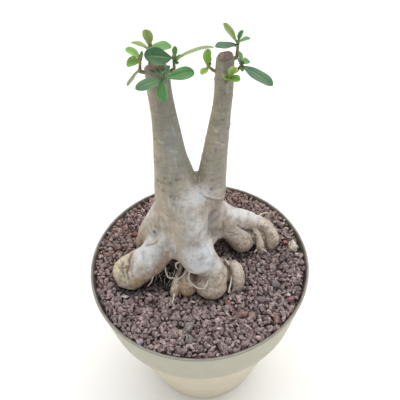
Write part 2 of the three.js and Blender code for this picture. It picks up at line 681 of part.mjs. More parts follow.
function makeShoot({ foot, elbow, knot, leaves }) {
  const middle = point(foot).lerp(point(elbow), TWIG.straight);
  const route = [foot, [...middle], elbow, knot];
  const radii = [TWIG.footRadius, TWIG.footRadius, TWIG.footRadius, TWIG.knotRadius];
  let solid = tube(route, radii, TWIG.sides);
  const bud = new THREE.IcosahedronGeometry(TWIG.budRadius, 0).translate(...knot);
  solid = solid.add(toSolid(bud));
  for (const blade of leaves) {
    const stalk = tube([knot, blade.slice(0, 3)], TWIG.stalk.radii, TWIG.stalk.sides);
    solid = solid.add(leaf(blade)).add(stalk);
  }
  return largestBody(solid);
}

// ---------------------------------------------------------------- the scene graph

const MATERIALS = {
  pot: { color: "#c4bfa6", roughness: 0.55 },
  grit: { color: "#7b6764", roughness: 0.95 },
  bark: { color: "#b3a99b", roughness: 0.8 },
  leaf: { color: "#5f9444", roughness: 0.45 },
};

function piece(name, solid, material) {
  const mesh = new THREE.Mesh(
    toGeometry(solid),
    new THREE.MeshStandardMaterial({ ...MATERIALS[material], metalness: 0 }),
  );
  mesh.name = name;
  return mesh;
}

const plant = new THREE.Group();
plant.name = "plant";
plant.add(piece("caudex", makeCaudex(), "bark"));
for (const shoot of SHOOTS) plant.add(piece(shoot.name, makeShoot(shoot), "leaf"));

const holder = new THREE.Group();
holder.name = "potted_bed";
holder.add(piece("pot", makePot(), "pot"));
holder.add(piece("grit_bed", makeGrit(), "grit"));

const desertRose = new THREE.Group();
desertRose.name = "potted_desert_rose";
desertRose.add(plant, holder);

export default desertRose;
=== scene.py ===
"""A potted desert rose (adenium): pale swollen trunk, fat roots over lava grit, pruned stems, young shoots.

It is laid out as an add-on and run as a script. Each piece is a surface worked out with numpy: a function
of two parameters on a grid, or a section carried along a path. Lengths are metres, +Z is up, and the origin
is the middle of the pot's foot. The front of the plant faces -Y.
"""

import math

import bpy
import numpy as np
from bpy.props import FloatProperty, FloatVectorProperty, IntProperty, PointerProperty
from bpy.types import Operator, Panel, PropertyGroup
from mathutils import Matrix, Vector


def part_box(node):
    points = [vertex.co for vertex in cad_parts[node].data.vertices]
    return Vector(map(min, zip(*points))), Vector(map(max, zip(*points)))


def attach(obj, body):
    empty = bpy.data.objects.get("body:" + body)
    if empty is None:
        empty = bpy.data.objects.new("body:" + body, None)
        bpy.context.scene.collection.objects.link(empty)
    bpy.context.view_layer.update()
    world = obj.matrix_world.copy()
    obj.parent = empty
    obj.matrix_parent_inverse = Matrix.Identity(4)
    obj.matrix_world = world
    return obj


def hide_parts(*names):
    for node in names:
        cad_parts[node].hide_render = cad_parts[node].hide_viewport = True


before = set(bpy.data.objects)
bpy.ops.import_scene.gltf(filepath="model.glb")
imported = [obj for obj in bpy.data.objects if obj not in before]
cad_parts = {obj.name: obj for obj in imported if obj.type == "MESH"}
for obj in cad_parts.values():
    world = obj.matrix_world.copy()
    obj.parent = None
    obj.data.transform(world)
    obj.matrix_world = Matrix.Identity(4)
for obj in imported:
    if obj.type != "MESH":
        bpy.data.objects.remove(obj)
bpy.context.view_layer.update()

bl_info = {
    "name": "Potted Desert Rose",
    "version": (1, 0, 0),
    "blender": (4, 5, 0),
    "location": "3D View > Sidebar > Desert Rose",
    "description": "Builds a desert rose in a nursery pot: pot, lava grit, trunk with roots, leafy shoots",
    "category": "Add Mesh",
}

MM = 0.001
SEED = 11
CHUNK = 40000  # how many points are worked on at a time
STEM_BARK = 228 * MM, 262 * MM  # between these heights the trunk's bark turns into the stems'


# ---------------------------------------------------------------- colours and settings


def linear(hex_colour):
    """An sRGB hex colour as linear red, green, blue, 1: c/12.92 up to 0.04045, else ((c+0.055)/1.055)^2.4."""
    shares = np.array([int(hex_colour[i : i + 2], 16) for i in (1, 3, 5)]) / 255
    channels = np.where(shares <= 0.04045, shares / 12.92, ((shares + 0.055) / 1.055) ** 2.4)
    return (*channels.tolist(), 1.0)


def length(name, description, default):
    """A length that a user can change."""
    return FloatProperty(name=name, description=description, default=default, unit="LENGTH", precision=5)


def colour(name, description, hex_colour):
    """A colour that a user can change."""
    return FloatVectorProperty(
        name=name, description=description, default=linear(hex_colour), size=4, subtype="COLOR", min=0, max=1
    )


class PotSettings(PropertyGroup):
    """The tapered nursery pot, moulded in one piece."""

    rim_radius: length("Rim radius", "Outer radius at the rim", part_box("pot")[1].x)
    height: length("Height", "Height of the rim over the foot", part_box("pot")[1].z)
    band_height: length("Band height", "Height of the wider band round the mouth", 46 * MM)
    band_foot_radius: length("Band foot radius", "Outer radius at the band's lower edge", 89.5 * MM)
    body_top_radius: length("Body top radius", "Outer radius of the body just under the band", 86.5 * MM)
    foot_radius: length("Foot radius", "Outer radius of the foot ring", 60 * MM)
    foot_inner_radius: length("Foot ring inside", "Inner radius of the foot ring", 54 * MM)
    foot_height: length("Foot ring height", "How far the floor is raised over the foot ring", 5 * MM)
    wall: length("Wall", "Wall thickness", 2 * MM)
    floor: length("Floor", "Floor thickness", 2.6 * MM)
    drain_radius: length("Drain radius", "Radius of each drain hole", 6 * MM)
    drain_ring: length("Drain ring", "Radius of the ring that the drain holes lie on", 36 * MM)
    drain_count: IntProperty(name="Drains", description="Drain holes on the ring", default=5, min=0)
    plastic: colour("Plastic", "Colour of the moulded plastic", "#CDC4AB")
    # The rim's top edge is drawn a darker grey than the wall.
    rim_edge_grey: colour("Worn rim", "Colour of the rim's worn, dusty edge", "#8D8A7F")


class GritSettings(PropertyGroup):
    """The bed of crushed lava stone."""

    level: length("Level", "Mean height of the bed's top", 162 * MM)
    pitch: length("Pitch", "Mean spacing of the stones", 3.4 * MM)
    smallest: length("Smallest stone", "Smallest mean diameter of a stone", 2.5 * MM)
    largest: length("Largest stone", "Largest mean diameter of a stone", 6.0 * MM)
    stone: colour("Lava", "Main colour of the stones", "#A3928F")
    red_stone: colour("Red lava", "Colour of the redder stones", "#8F6A60")
    pale_stone: colour("Pale stones", "Colour of the few pale stones", "#C3B3A5")
    # The fines are drawn nearly black: painted shade of the deep gaps between the stones.
    hollow: colour("Hollows", "Colour of the fines between the stones", "#4A3E3D")


class TrunkSettings(PropertyGroup):
    """The trunk with its fat roots, and the thin roots on it."""

    mesh_size: length("Mesh size", "Edge length of the trunk's mesh", 0.92 * MM)
    bark: colour("Bark", "Colour of the swollen trunk", "#B4ACA2")
    stem: colour("Stem bark", "Colour of the stems", "#979183")
    root: colour("Root bark", "Colour of the root ends that lay under the grit", "#CABFB0")
    fold_dirt_and_painted_shade: colour("Stain", "Colour of the dirt in the folds", "#5D4B3C")
    # This colour darkens the folds: partly soil in them, partly painted shade.
    cut_wood: colour("Cut wood", "Colour of the dried pruning cuts", "#94786B")
    straw: colour("Thin roots", "Colour of the dry thin roots", "#A99A82")


class ShootSettings(PropertyGroup):
    """The young leafy shoots at the stem tops."""

    blade_thickness: length("Blade thickness", "Thickness of a leaf beside its midrib", 0.62 * MM)
    twig_radius: length("Twig radius", "Radius of a shoot's twig", 0.95 * MM)
    twig: colour("Twig", "Colour of the young twigs", "#57633A")


class StageSettings(PropertyGroup):
    """Floor, light and camera."""

    floor_size: length("Floor size", "Side of the square floor", 6.0)
    floor_paper: colour("Floor", "Colour of the floor", "#F4F3F0")
    lens: FloatProperty(name="Lens", description="Focal length in mm on a 36 mm sensor", default=36.0, min=1)


class DesertRoseSettings(PropertyGroup):
    """Everything that a user would change."""

    pot: PointerProperty(type=PotSettings, name="Pot", description="The nursery pot")
    grit: PointerProperty(type=GritSettings, name="Grit", description="The lava stone bed")
    trunk: PointerProperty(type=TrunkSettings, name="Trunk", description="The trunk and its roots")
    shoots: PointerProperty(type=ShootSettings, name="Shoots", description="The leafy shoots")
    stage: PointerProperty(type=StageSettings, name="Stage", description="Floor, light and camera")


# ---------------------------------------------------------------- the plant's measured lines, in millimetres

# Each limb of the trunk is a chain of [x, y, z, radius], joined smoothly to the limbs before it over its own
# blend distance. The kind says what its bark is like; a cut is a point and a slope along X and Y.
LEFT_CUT = ((-18.4, 0, 345), (-0.05, 0.03))
RIGHT_CUT = ((21.2, 0, 349.5), (0.04, 0.06))
LIMBS = (
    ("left stem", "stem", 0, LEFT_CUT, [
        [-18.3, 0, 356, 7.3], [-18.6, 0, 332, 7.5], [-17.2, 0, 306, 8.7], [-16.2, 0, 280, 11.5],
        [-14.9, 1, 262, 14.2], [-13.5, 2, 243, 17.5], [-12.5, 3, 222, 19], [-12, 4, 204, 18]]),
    ("right stem", "stem", 2.5, RIGHT_CUT, [
        [21.4, 0, 358, 5.2], [20.8, 0, 334, 5.7], [19.6, 0, 317, 6], [17.8, 0, 303, 7], [14.6, 0, 278, 8.9],
        [12.4, 1, 258, 10.6], [10.6, 3.2, 241, 12.5], [10.3, 9, 227, 11], [9, 12.5, 210, 10.5]]),
    ("core", "trunk", 9, None, [
        [-5, 5, 235, 14], [-4, 10, 214, 16], [-2, 16, 190, 15], [0, 18, 168, 13], [0, 18, 156, 11]]),
    ("front root", "trunk", 9, None, [
        [-1.5, -5.5, 245.8, 8.5], [-3.2, -8.5, 238, 10.6], [-4.4, -10.5, 226, 11], [-3.5, -15.5, 208, 11.4],
        [-2.5, -20, 198, 11.6], [-2, -23, 191, 10.6]]),
    ("web", "trunk", 8, None, [[-21, -9, 198, 9], [-13.5, -15, 195, 8], [-6.5, -19, 194, 8]]),
    ("front bulb", "bulb", 6, None, [
        [2.5, -17, 195, 8.5], [7, -22.5, 186, 10], [10, -26, 176.5, 12.4], [8.5, -30, 168.5, 13.2]]),
    ("left root", "root", 8, None, [
        [-16, -2, 206, 13], [-29.6, -5.8, 191, 12.9], [-41.6, -11.3, 180.3, 13.5],
        [-50.5, -14.3, 176.5, 14.4],
        [-57.8, -17.4, 173.8, 14.8]]),
    ("back left root", "root", 6, None, [
        [-22, 5, 220, 14], [-34, 9, 201, 12], [-42.5, 13, 185, 10], [-48, 17, 174, 7.6],
        [-52, 18.5, 158, 5.6]]),
    ("right shoulder", "trunk", 8, None, [
        [8, 12, 211, 11.5], [24, 15.5, 196.6, 11.4], [36.5, 19.5, 192.6, 9], [46.5, 21.5, 186, 8.6]]),
    ("right web", "trunk", 7, None, [
        [1, -9, 197, 8.5], [8, -2, 191, 6.5], [16, 7, 188, 5.2], [24, 11.5, 188.5, 7.5], [30, 13, 185, 9]]),
    ("right swelling", "bulb", 2.6, None, [
        [14, 12, 192, 6], [24.5, 13.5, 186.5, 8.6], [33, 13, 180.5, 10.8], [38.5, 11.3, 172.3, 11]]),
    ("right finger", "bulb", 1.8, None, [
        [45, 20, 183, 5], [50.8, 16.5, 178, 4.5], [54, 10.4, 170.8, 4], [55.3, 6.8, 163, 4],
        [56, 6, 155, 3]]),
    ("outer right root", "bulb", 1.8, None, [
        [47, 24, 181, 7], [56, 25, 178.5, 7.4], [63.6, 20.5, 175, 6.9], [66.4, 15, 168.5, 7],
        [66, 14, 156, 6]]),
    ("upright root", "bulb", 2.5, None, [
        [13, -8, 176, 2.4], [21, -12, 171, 3], [28.5, -17, 170.5, 6.2], [30.5, -22, 167.5, 6.9],
        [30.5, -28, 161, 5.8], [30.5, -30, 154, 4]]),
    ("small bulb", "bulb", 2, None, [
        [-6.5, -13, 188, 2.6], [-8.5, -21, 180, 2.8], [-10, -28, 171, 6.2], [-10.5, -31, 165.5, 7.2],
        [-11, -31, 157, 5]]),
    ("smallest bulb", "bulb", 2, None, [
        [-13, -9, 181, 2], [-17, -20, 172, 2.2], [-20.5, -29.5, 168.6, 3.6], [-22, -33, 163, 3.9],
        [-22, -33, 156, 2.6]]),
    ("back root", "root", 9, None, [
        [-6, 14, 212, 14], [-10, 28, 192, 13], [-16, 38, 178, 13.5], [-20, 44, 168, 12], [-22, 46, 158, 9]]),
    ("back right root", "root", 9, None, [
        [10, 14, 208, 13], [18, 30, 190, 12], [24, 39, 178, 11], [29, 45, 168, 9.5], [32, 48, 158, 7]]),
    ("back fork", "root", 5, None, [
        [2, 26, 196, 9], [4, 38, 182, 7.5], [4, 49, 172, 7.5], [3, 55, 163, 6], [3, 56, 156, 4.5]]),
)

# Thin roots: a radius, how pale it is, and a route.
THIN_ROOTS = (
    (0.9, 0.75, [[-8, -28, 184], [-9.4, -31, 178], [-6.1, -34.4, 173.6], [-0.9, -38, 173.6],
                 [3.4, -39.2, 176], [6, -36, 181]]),
    (0.8, 0.8, [[-31, -8, 181], [-29.5, -14, 177], [-28.6, -19, 173], [-26.5, -24, 171.6],
                [-22.5, -26, 172.8], [-19.5, -27, 172.2], [-16.5, -28, 175], [-12.7, -27, 179.2],
                [-8.5, -23, 181.5]]),
    (0.9, 1, [[-13.5, -13, 190], [-14.7, -19, 186.4], [-17, -20.5, 186.2], [-19, -20.5, 184.5],
              [-19.2, -20.5, 181], [-18.9, -20, 177]]),
    (0.8, 0.55, [[-35, -15, 178], [-39, -24, 174.5], [-40.8, -27, 170.9], [-44.3, -28, 166.2]]),
    (0.7, 1, [[-22, -34, 165.4], [-22.6, -38.5, 164.8], [-24.3, -45, 164.6]]),
    (0.9, 0.7, [[21.5, -12, 176], [25.4, -19, 173], [25.6, -27.5, 168.4], [22.4, -38, 164.6]]),
    (0.7, 0.6, [[53, 25, 184], [60, 35, 180], [66, 41, 175], [71, 45, 170]]),
    (1.1, 0.5, [[54.3, 8, 166], [51.6, 4.6, 165.2], [49.4, 2.2, 164.8]]),
    (1.1, 0.6, [[55.3, 8, 166], [57.8, 4, 166], [60.4, 1.6, 165.6]]),
    (0.7, 0.6, [[0.6, -3, 252], [0.4, -4, 259], [-0.6, -3.6, 264]]),
    (0.7, 0.5, [[2.6, -3, 250], [3, -4.6, 258], [3.4, -4.2, 263]]),
)

# Leaf colours by the look of each leaf.
LEAF_COLOURS = {
    "lime": "#A5BE62",
    "bright": "#7FAE45",
    "green": "#5C9645",
    "mid": "#3F8144",
    "deep": "#25643A",
    "blue": "#33694C",
    "dark": "#1F5A3A",
    "olive": "#96A862",
    "pale": "#98A078",
}

# Each shoot: its name, foot inside the stem, elbow outside the bark, knot that the leaves spring from, and
# the leaves as [x, y, z of the foot, length, width, heading, pitch, roll, bend in degrees] with their colour.
SHOOTS = (
    ("shoot_left_side", [-22, -0.4, 339.5], [-28.2, -1.2, 343], [-27.2, -2, 350], (
        ("bright", [-26.8, -2, 351, 12, 5.2, 136, 14, -15, 22]),
        ("bright", [-27.6, -2, 348.7, 9.5, 7, 153, -13, -40, 15]),
        ("pale", [-28.6, -1.8, 344, 13, 5, -122, -20, 25, 14]),
        ("green", [-26.6, -1.4, 350, 4.5, 2, 70, 60, 0, 10]))),
    ("shoot_left_top", [-21, 3.4, 338.5], [-23, 8.6, 343], [-21.8, 5.4, 353.8], (
        ("olive", [-21.9, 5, 354.4, 12, 6.2, -93, 69, -10, 18]),
        ("green", [-21.4, 5.4, 353.4, 14, 8, 32, -9, 20, 16]),
        ("olive", [-22.4, 5.4, 353, 12, 5.5, 153, 9, 5, 20]),
        ("bright", [-21.6, 6, 353.6, 7, 3.6, 95, 35, 0, 14]))),
    ("shoot_left_inner", [-14, 0.6, 339], [-8.6, 1.6, 342], [-8.4, 1, 348.2], (
        ("dark", [-9.4, 1, 348.8, 18, 10.8, -150, 19, -50, 14]),
        ("pale", [-7.2, 1, 347.8, 26, 4.8, 25, 3, 0, 34]),
        ("deep", [-8, 0.4, 348, 6, 3.2, -40, 42, 0, 12]),
        ("green", [-8, 1.8, 348.4, 6.5, 3.4, 75, 58, 0, 12]),
        ("deep", [-7.6, 0.2, 346.8, 5, 2.8, -75, 8, 0, 10]),
        ("bright", [-7.4, 1.6, 346.4, 6, 3, 5, 38, 0, 10]))),
    ("shoot_left_front", [-17.4, -3.6, 335.5], [-15.8, -9.4, 338.5], [-14.4, -12, 343.2], (
        ("mid", [-12.8, -12, 343, 18, 7.9, 28, -3, 40, 18]),
        ("deep", [-15.4, -12.2, 342.2, 18.6, 7.2, -138, 5, -25, 24]),
        ("mid", [-14.8, -12.8, 342, 15, 6.8, -87, -21, 25, 20]),
        ("deep", [-14.8, -11.6, 343.6, 7.5, 4, 130, 24, 5, 12]),
        ("deep", [-13.6, -11.6, 344, 7, 3.5, 60, 36, -10, 12]),
        ("blue", [-14.2, -12.6, 344, 5, 2.2, -60, 60, 0, 8]))),
    ("shoot_right_top", [23.4, 0.6, 343.5], [28, 1.6, 347.5], [28.4, 1, 355], (
        ("olive", [27.4, 1, 356.6, 14.5, 4.6, -153, 53, -65, 14]),
        ("blue", [28.6, 0.8, 354, 15, 7, -156, 9, -10, 22]),
        ("mid", [28.6, 1, 356.6, 8.5, 3.2, -70, 61, -5, 10]),
        ("green", [29, 1.2, 356.2, 8.5, 3, 35, -2, 20, 12]),
        ("bright", [28.8, 1.6, 356.4, 6, 3, 60, 48, 0, 10]))),
    ("shoot_right_outer", [23.2, -0.6, 337.6], [28, -1, 340], [30.8, -1, 343.4], (
        ("blue", [31.2, -1.2, 342.6, 23, 8, -48, -11, 15, 22]),
        ("mid", [30.6, -0.8, 344.8, 8.4, 3.4, 96, 24, 25, 10]),
        ("green", [31.4, -0.8, 344.2, 7.4, 4.8, 57, -6, 30, 12]),
        ("deep", [30, -1.2, 344.2, 6, 3.8, -120, 46, -60, 12]),
        ("mid", [31, -1.4, 342.6, 4.5, 2.4, -95, -12, 0, 8]))),
    ("shoot_right_front", [21.2, -2.6, 333.5], [21.8, -7.2, 336.4], [22.4, -8.4, 339.6], (
        ("lime", [22.4, -8.6, 340, 10, 5.4, -55, 55, -40, 12]),
        ("bright", [23, -8.8, 339.4, 8.6, 5, -52, 12, 35, 14]),
        ("bright", [21.8, -8.8, 339.4, 6, 3.6, -130, 32, -50, 10]))),
    ("shoot_right_inner", [18.6, -0.2, 338.5], [13.8, -0.6, 341], [11.4, -1, 343.6], (
        ("bright", [10.8, -1.2, 344, 12, 5.2, -89, 73, 15, 14]),
        ("lime", [11.4, -1.4, 343, 8.4, 4.2, -125, -4, -20, 14]),
        ("green", [11.6, -0.6, 344, 5, 1.8, 60, 55, 0, 8]))),
)


# ---------------------------------------------------------------- arrays and meshes


def grid_faces(rows, columns):
    """Quads (n, 4) of a grid whose point (i, j) has the number i * columns + j and whose columns close."""
    i, j = np.meshgrid(np.arange(rows - 1), np.arange(columns), indexing="ij")
    nxt = (j + 1) % columns
    quads = np.stack([i * columns + j, i * columns + nxt, (i + 1) * columns + nxt, (i + 1) * columns + j], -1)
    return quads.reshape(-1, 4)


def fan(pole, ring, turned=False):
    """Triangles (n, 3) from a pole's number to each step of a closed ring of numbers."""
    nxt = np.roll(ring, -1)
    pair = (nxt, ring) if turned else (ring, nxt)
    return np.stack([np.full(len(ring), pole), *pair], -1)


def closed(rings, first_pole, last_pole):
    """Points and faces of a tube given as rings of points (rows, sides, 3), with a pole to close each end."""
    rows, sides, _ = rings.shape
    count = rows * sides
    faces = [
        grid_faces(rows, sides),
        fan(count, np.arange(sides), turned=True),
        fan(count + 1, np.arange(count - sides, count)),
    ]
    return np.concatenate([rings.reshape(-1, 3), [first_pole, last_pole]]), faces


def joined(parts):
    """Several (points, faces) as one: points stacked, each part's numbers moved up by what came before."""
    starts = np.cumsum([0] + [len(points) for points, _ in parts])
    points = np.concatenate([points for points, _ in parts])
    faces = [f + start for (_, several), start in zip(parts, starts) for f in several]
    return points, faces


def new_mesh(name, points, faces, smooth=True, values=None, colours=None, uv=None):
    """A mesh from points (n, 3) and a list of face arrays, with point attributes and a UV per point."""
    mesh = bpy.data.meshes.new(name)
    sizes = np.concatenate([np.full(len(f), f.shape[1]) for f in faces])
    corners = np.concatenate([f.ravel() for f in faces])
    mesh.vertices.add(len(points))
    mesh.vertices.foreach_set("co", np.asarray(points, np.float32).ravel())
    mesh.loops.add(len(corners))
    mesh.loops.foreach_set("vertex_index", corners.astype(np.int32))
    mesh.polygons.add(len(sizes))
    mesh.polygons.foreach_set("loop_start", np.concatenate([[0], np.cumsum(sizes)[:-1]]).astype(np.int32))
    mesh.polygons.foreach_set("use_smooth", np.full(len(sizes), smooth))
    mesh.update(calc_edges=True)
    for label, numbers in (values or {}).items():
        attribute = mesh.attributes.new(label, "FLOAT", "POINT")
        attribute.data.foreach_set("value", np.asarray(numbers, np.float32))
    for label, tints in (colours or {}).items():
        attribute = mesh.attributes.new(label, "FLOAT_COLOR", "POINT")
        attribute.data.foreach_set("color", np.asarray(tints, np.float32).ravel())
    if uv is not None:
        layer = mesh.uv_layers.new(name="UVMap")
        layer.data.foreach_set("uv", np.asarray(uv, np.float32)[corners].ravel())
    return mesh


def linked(name, data):
    """A new object in the scene."""
    made = bpy.data.objects.new(name, data)
    bpy.context.scene.collection.objects.link(made)
    return made


def new_piece(name, mesh, materials, node):
    """An object of the plant or pot: it rides on the one body and takes the place of the node's solid."""
    piece = linked(name, mesh)
    for material in materials:
        mesh.materials.append(material)
    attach(piece, "root")
    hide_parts(node)


def with_modifiers(mesh, *modifiers):
    """A new mesh: the given one after modifiers, each (type, {setting: value})."""
    helper = linked("helper", mesh)
    for kind, settings in modifiers:
        modifier = helper.modifiers.new(kind.lower(), kind)
        for label, value in settings.items():
            setattr(modifier, label, value)
    bpy.context.view_layer.update()
    made = bpy.data.meshes.new_from_object(helper.evaluated_get(bpy.context.evaluated_depsgraph_get()))
    bpy.data.objects.remove(helper)
    return made


def mesh_points(mesh):
    """Points (n, 3) of a mesh."""
    points = np.empty(len(mesh.vertices) * 3)
    mesh.vertices.foreach_get("co", points)
    return points.reshape(-1, 3)


def mesh_quads(mesh):
    """Quads (n, 4) of a mesh that has only quads."""
    corners = np.empty(len(mesh.loops), np.int64)
    mesh.loops.foreach_get("vertex_index", corners)
    return corners.reshape(-1, 4)


def unit(vectors):
    """Vectors divided by their length."""
    return vectors / np.maximum(np.linalg.norm(vectors, axis=-1, keepdims=True), 1e-12)


def smooth_step(low, high, value):
    """0 under low, 1 over high, and t²(3-2t) between."""
    t = np.clip((value - low) / (high - low), 0, 1)
    return t * t * (3 - 2 * t)


def noise(points, size, seed=0):
    """Value noise in -1..1: a random number at each corner of a cubic lattice with cells of the given size,
    blended over each cell with t²(3-2t) along each axis."""
    place = np.asarray(points, float) / size + 31.7 * (seed + 1)
    cell = np.floor(place).astype(np.int64)
    t = place - cell
    t = t * t * (3 - 2 * t)
    total = np.zeros(len(place))
    for corner in np.ndindex(2, 2, 2):
        x, y, z = (cell + corner).T
        key = (x * 73856093) ^ (y * 19349663) ^ (z * 83492791)
        key = (key ^ (key >> 13)) * 1274126177
        share = ((key ^ (key >> 16)) & 0xFFFF) / 0xFFFF
        weight = np.prod(np.where(corner, t, 1 - t), axis=1)
        total += weight * share
    return 2 * total - 1


def smooth_path(chain, step):
    """Stations along a uniform Catmull-Rom curve through the chain's rows, about a step apart, row by row:
    ½(2b + (c-a)t + (2a-5b+4c-d)t² + (3b-a-3c+d)t³)."""
    rows = np.asarray(chain, float)
    ends = np.vstack([2 * rows[0] - rows[1], rows, 2 * rows[-1] - rows[-2]])
    stations = [rows[:1]]
    for a, b, c, d in zip(ends[:-3], ends[1:-2], ends[2:-1], ends[3:]):
        count = max(1, math.ceil(np.linalg.norm((c - b)[:3]) / step))
        t = (np.arange(1, count + 1) / count)[:, None]
        curve = 2 * b + (c - a) * t + (2 * a - 5 * b + 4 * c - d) * t**2 + (3 * b - a - 3 * c + d) * t**3
        stations.append(curve / 2)
    return np.concatenate(stations)


def path_frame(centres):
    """Tangents of a path and two directions across it: A is the direction that the tangents follow least,
    taken square to each tangent, and B is T x A, so the section doesn't twist."""
    tangent = unit(np.gradient(centres, axis=0))
    steady = np.linalg.svd(tangent)[2][-1]
    across = unit(steady - (tangent @ steady)[:, None] * tangent)
    return tangent, across, np.cross(tangent, across)


def tube(centres, radii, sides, round_ends=False):
    """A closed tube: P(u, v) = C(u) + R(u) (cos v A(u) + sin v B(u)), closed by a pole past each end."""
    centres, radii = np.asarray(centres, float), np.asarray(radii, float)
    tangent, across, other = path_frame(centres)
    if round_ends:
        turn = np.radians([75, 50, 25])
        first = centres[0] - np.outer(np.sin(turn) * radii[0], tangent[0])
        last = centres[-1] + np.outer(np.sin(turn[::-1]) * radii[-1], tangent[-1])
        centres = np.concatenate([first, centres, last])
        radii = np.concatenate([np.cos(turn) * radii[0], radii, np.cos(turn[::-1]) * radii[-1]])
        keep = np.concatenate([[0] * 3, np.arange(len(tangent)), [len(tangent) - 1] * 3])
        tangent, across, other = tangent[keep], across[keep], other[keep]
    angle = 2 * np.pi * np.arange(sides) / sides
    ring = np.cos(angle)[None, :, None] * across[:, None] + np.sin(angle)[None, :, None] * other[:, None]
    rings = centres[:, None] + radii[:, None, None] * ring
    reach = (0.05 if round_ends else 0.35) * radii[[0, -1], None] * tangent[[0, -1]]
    return closed(rings, centres[0] - reach[0], centres[-1] + reach[1])


# ---------------------------------------------------------------- the trunk as a distance


class Limb:
    """A chain of round-ended, tapered links along a smooth curve, in metres."""

    def __init__(self, kind, blend, cut, chain):
        self.kind, self.blend = kind, blend * MM
        self.stations = smooth_path(chain, 5) * MM
        self.cut = None
        if cut is not None:
            self.cut = np.array(cut[0]) * MM, np.array([-cut[1][0], -cut[1][1], 1.0])

    def distance(self, points, recess=0.0):
        """Distance to the nearest link, |p - c(h)| - r(h) at the nearest place h on it, the direction away
        from it, and the length along the limb. A cut limb ends at its cut plane, or recess under it."""
        best = np.full(len(points), np.inf)
        away = np.zeros_like(points)
        along = np.zeros(len(points))
        start = 0.0
        for a, b in zip(self.stations[:-1], self.stations[1:]):
            link = b[:3] - a[:3]
            span = link @ link
            rest = points - a[:3]
            share = np.clip(rest @ link / span, 0, 1)
            rest = rest - share[:, None] * link
            gap = np.linalg.norm(rest, axis=1)
            reach = gap - (a[3] + (b[3] - a[3]) * share)
            nearer = reach < best
            best = np.where(nearer, reach, best)
            away[nearer] = rest[nearer] / np.maximum(gap[nearer], 1e-9)[:, None]
            along[nearer] = start + share[nearer] * math.sqrt(span)
            start += math.sqrt(span)
        if self.cut is not None:
            place, slope = self.cut
            normal = slope / np.linalg.norm(slope)
            over = (points - place) @ normal + recess
            above = over > best
            best = np.where(above, over, best)
            away[above] = normal
        return best, away, along


LIMB_SHAPES = [Limb(*row[1:]) for row in LIMBS]


def trunk_distance(points, recess=0.0):
    """The trunk's signed distance: the limbs' distances joined in order by min(a, b) - h²k/4, where h is
    (k - |a - b|) / k or 0 and k is the blend. With it the outward direction, blended alike, the length along
    the nearest limb, how deep in a fold the point lies (0 to 1), and the share of each kind of bark."""
    total, outward, length_along, kinds = None, None, None, None
    fold = np.zeros(len(points))
    for limb in LIMB_SHAPES:
        here, away, along = limb.distance(points, recess)
        kind = {label: np.full(len(points), float(limb.kind == label)) for label in ("stem", "root", "bulb")}
        if total is None:
            total, outward, length_along, kinds = here, away, along, kind
            continue
        k = limb.blend
        near = np.maximum(k - np.abs(total - here), 0) / k
        share = np.where(here < total, 1 - near / 2, near / 2)
        outward = outward * (1 - share)[:, None] + away * share[:, None]
        length_along = np.where(here < total, along, length_along)
        wide = np.maximum(2.5 * k, 6 * MM)
        soft = 0.5 + 0.5 * np.clip((total - here) / wide, -1, 1)
        kinds = {label: kinds[label] * (1 - soft) + kind[label] * soft for label in kinds}
        fold = np.maximum(fold * (1 - share), near * smooth_step(5 * MM, 2 * MM, np.full(1, k)))
        total = np.minimum(total, here) - near * near * k / 4
    return total, unit(outward), length_along, fold, kinds


def trunk_gap(points):
    """The trunk's signed distance alone."""
    return np.concatenate([trunk_distance(points[i : i + CHUNK])[0] for i in range(0, len(points), CHUNK)])


def onto_trunk(points, level, recess, steps=3):
    """Points moved along the outward direction, step by step, to the surface where the distance is level."""
    moved = []
    for i in range(0, len(points), CHUNK):
        place = points[i : i + CHUNK]
        for _ in range(steps):
            total, outward, *_ = trunk_distance(place, recess)
            place = place - (total - level)[:, None] * outward
        moved.append(place)
    return np.concatenate(moved)


def face_normals(points, quads):
    """Unit normals at the points: the cross products of the quads' diagonals, added up at their corners."""
    a, b, c, d = (points[quads[:, n]] for n in range(4))
    cross = np.cross(c - a, d - b)
    total = np.zeros_like(points)
    for n in range(4):
        np.add.at(total, quads[:, n], cross)
    return unit(total)


# ---------------------------------------------------------------- materials

# Each kind of node that the finishes use: its Blender type, the sockets that take a call's values, in order,
# the socket that is read, and its own values.
NODES = {
    "output": ("OutputMaterial", ("Surface",), None, {}),
    "shader": ("BsdfPrincipled", (), "BSDF", {}),
    "place": ("TexCoord", (), "Object", {}),
    "uv": ("UVMap", (), "UV", {"uv_map": "UVMap"}),
    "axes": ("SeparateXYZ", ("Vector",), "Z", {}),
    "stretch": ("Mapping", ("Vector", "Scale"), "Vector", {}),
    "noise": ("TexNoise", ("Vector", "Scale", "Detail", "Roughness"), "Fac", {}),
    "mark": ("Attribute", (), "Fac", {}),
    "tint": ("Attribute", (), "Color", {}),
    "range": ("MapRange", ("Value", "From Min", "From Max", "To Min", "To Max"), "Result",
              {"interpolation_type": "SMOOTHSTEP"}),
    "math": ("Math", ("Value", "Value_001"), "Value", {"operation": "MULTIPLY"}),
    "mix": ("Mix", ("Factor_Float", "A_Color", "B_Color"), "Result_Color", {"data_type": "RGBA"}),
    "bump": ("Bump", ("Height", "Distance", "Normal"), "Normal", {}),
}


# How rough a noise is where it needs nothing special: each finer octave has this share of the one before.
PLAIN = 0.55


def blobs(size):
    """The scale of a noise whose blobs are about size millimetres across."""
    return 0.5 / (size * MM)


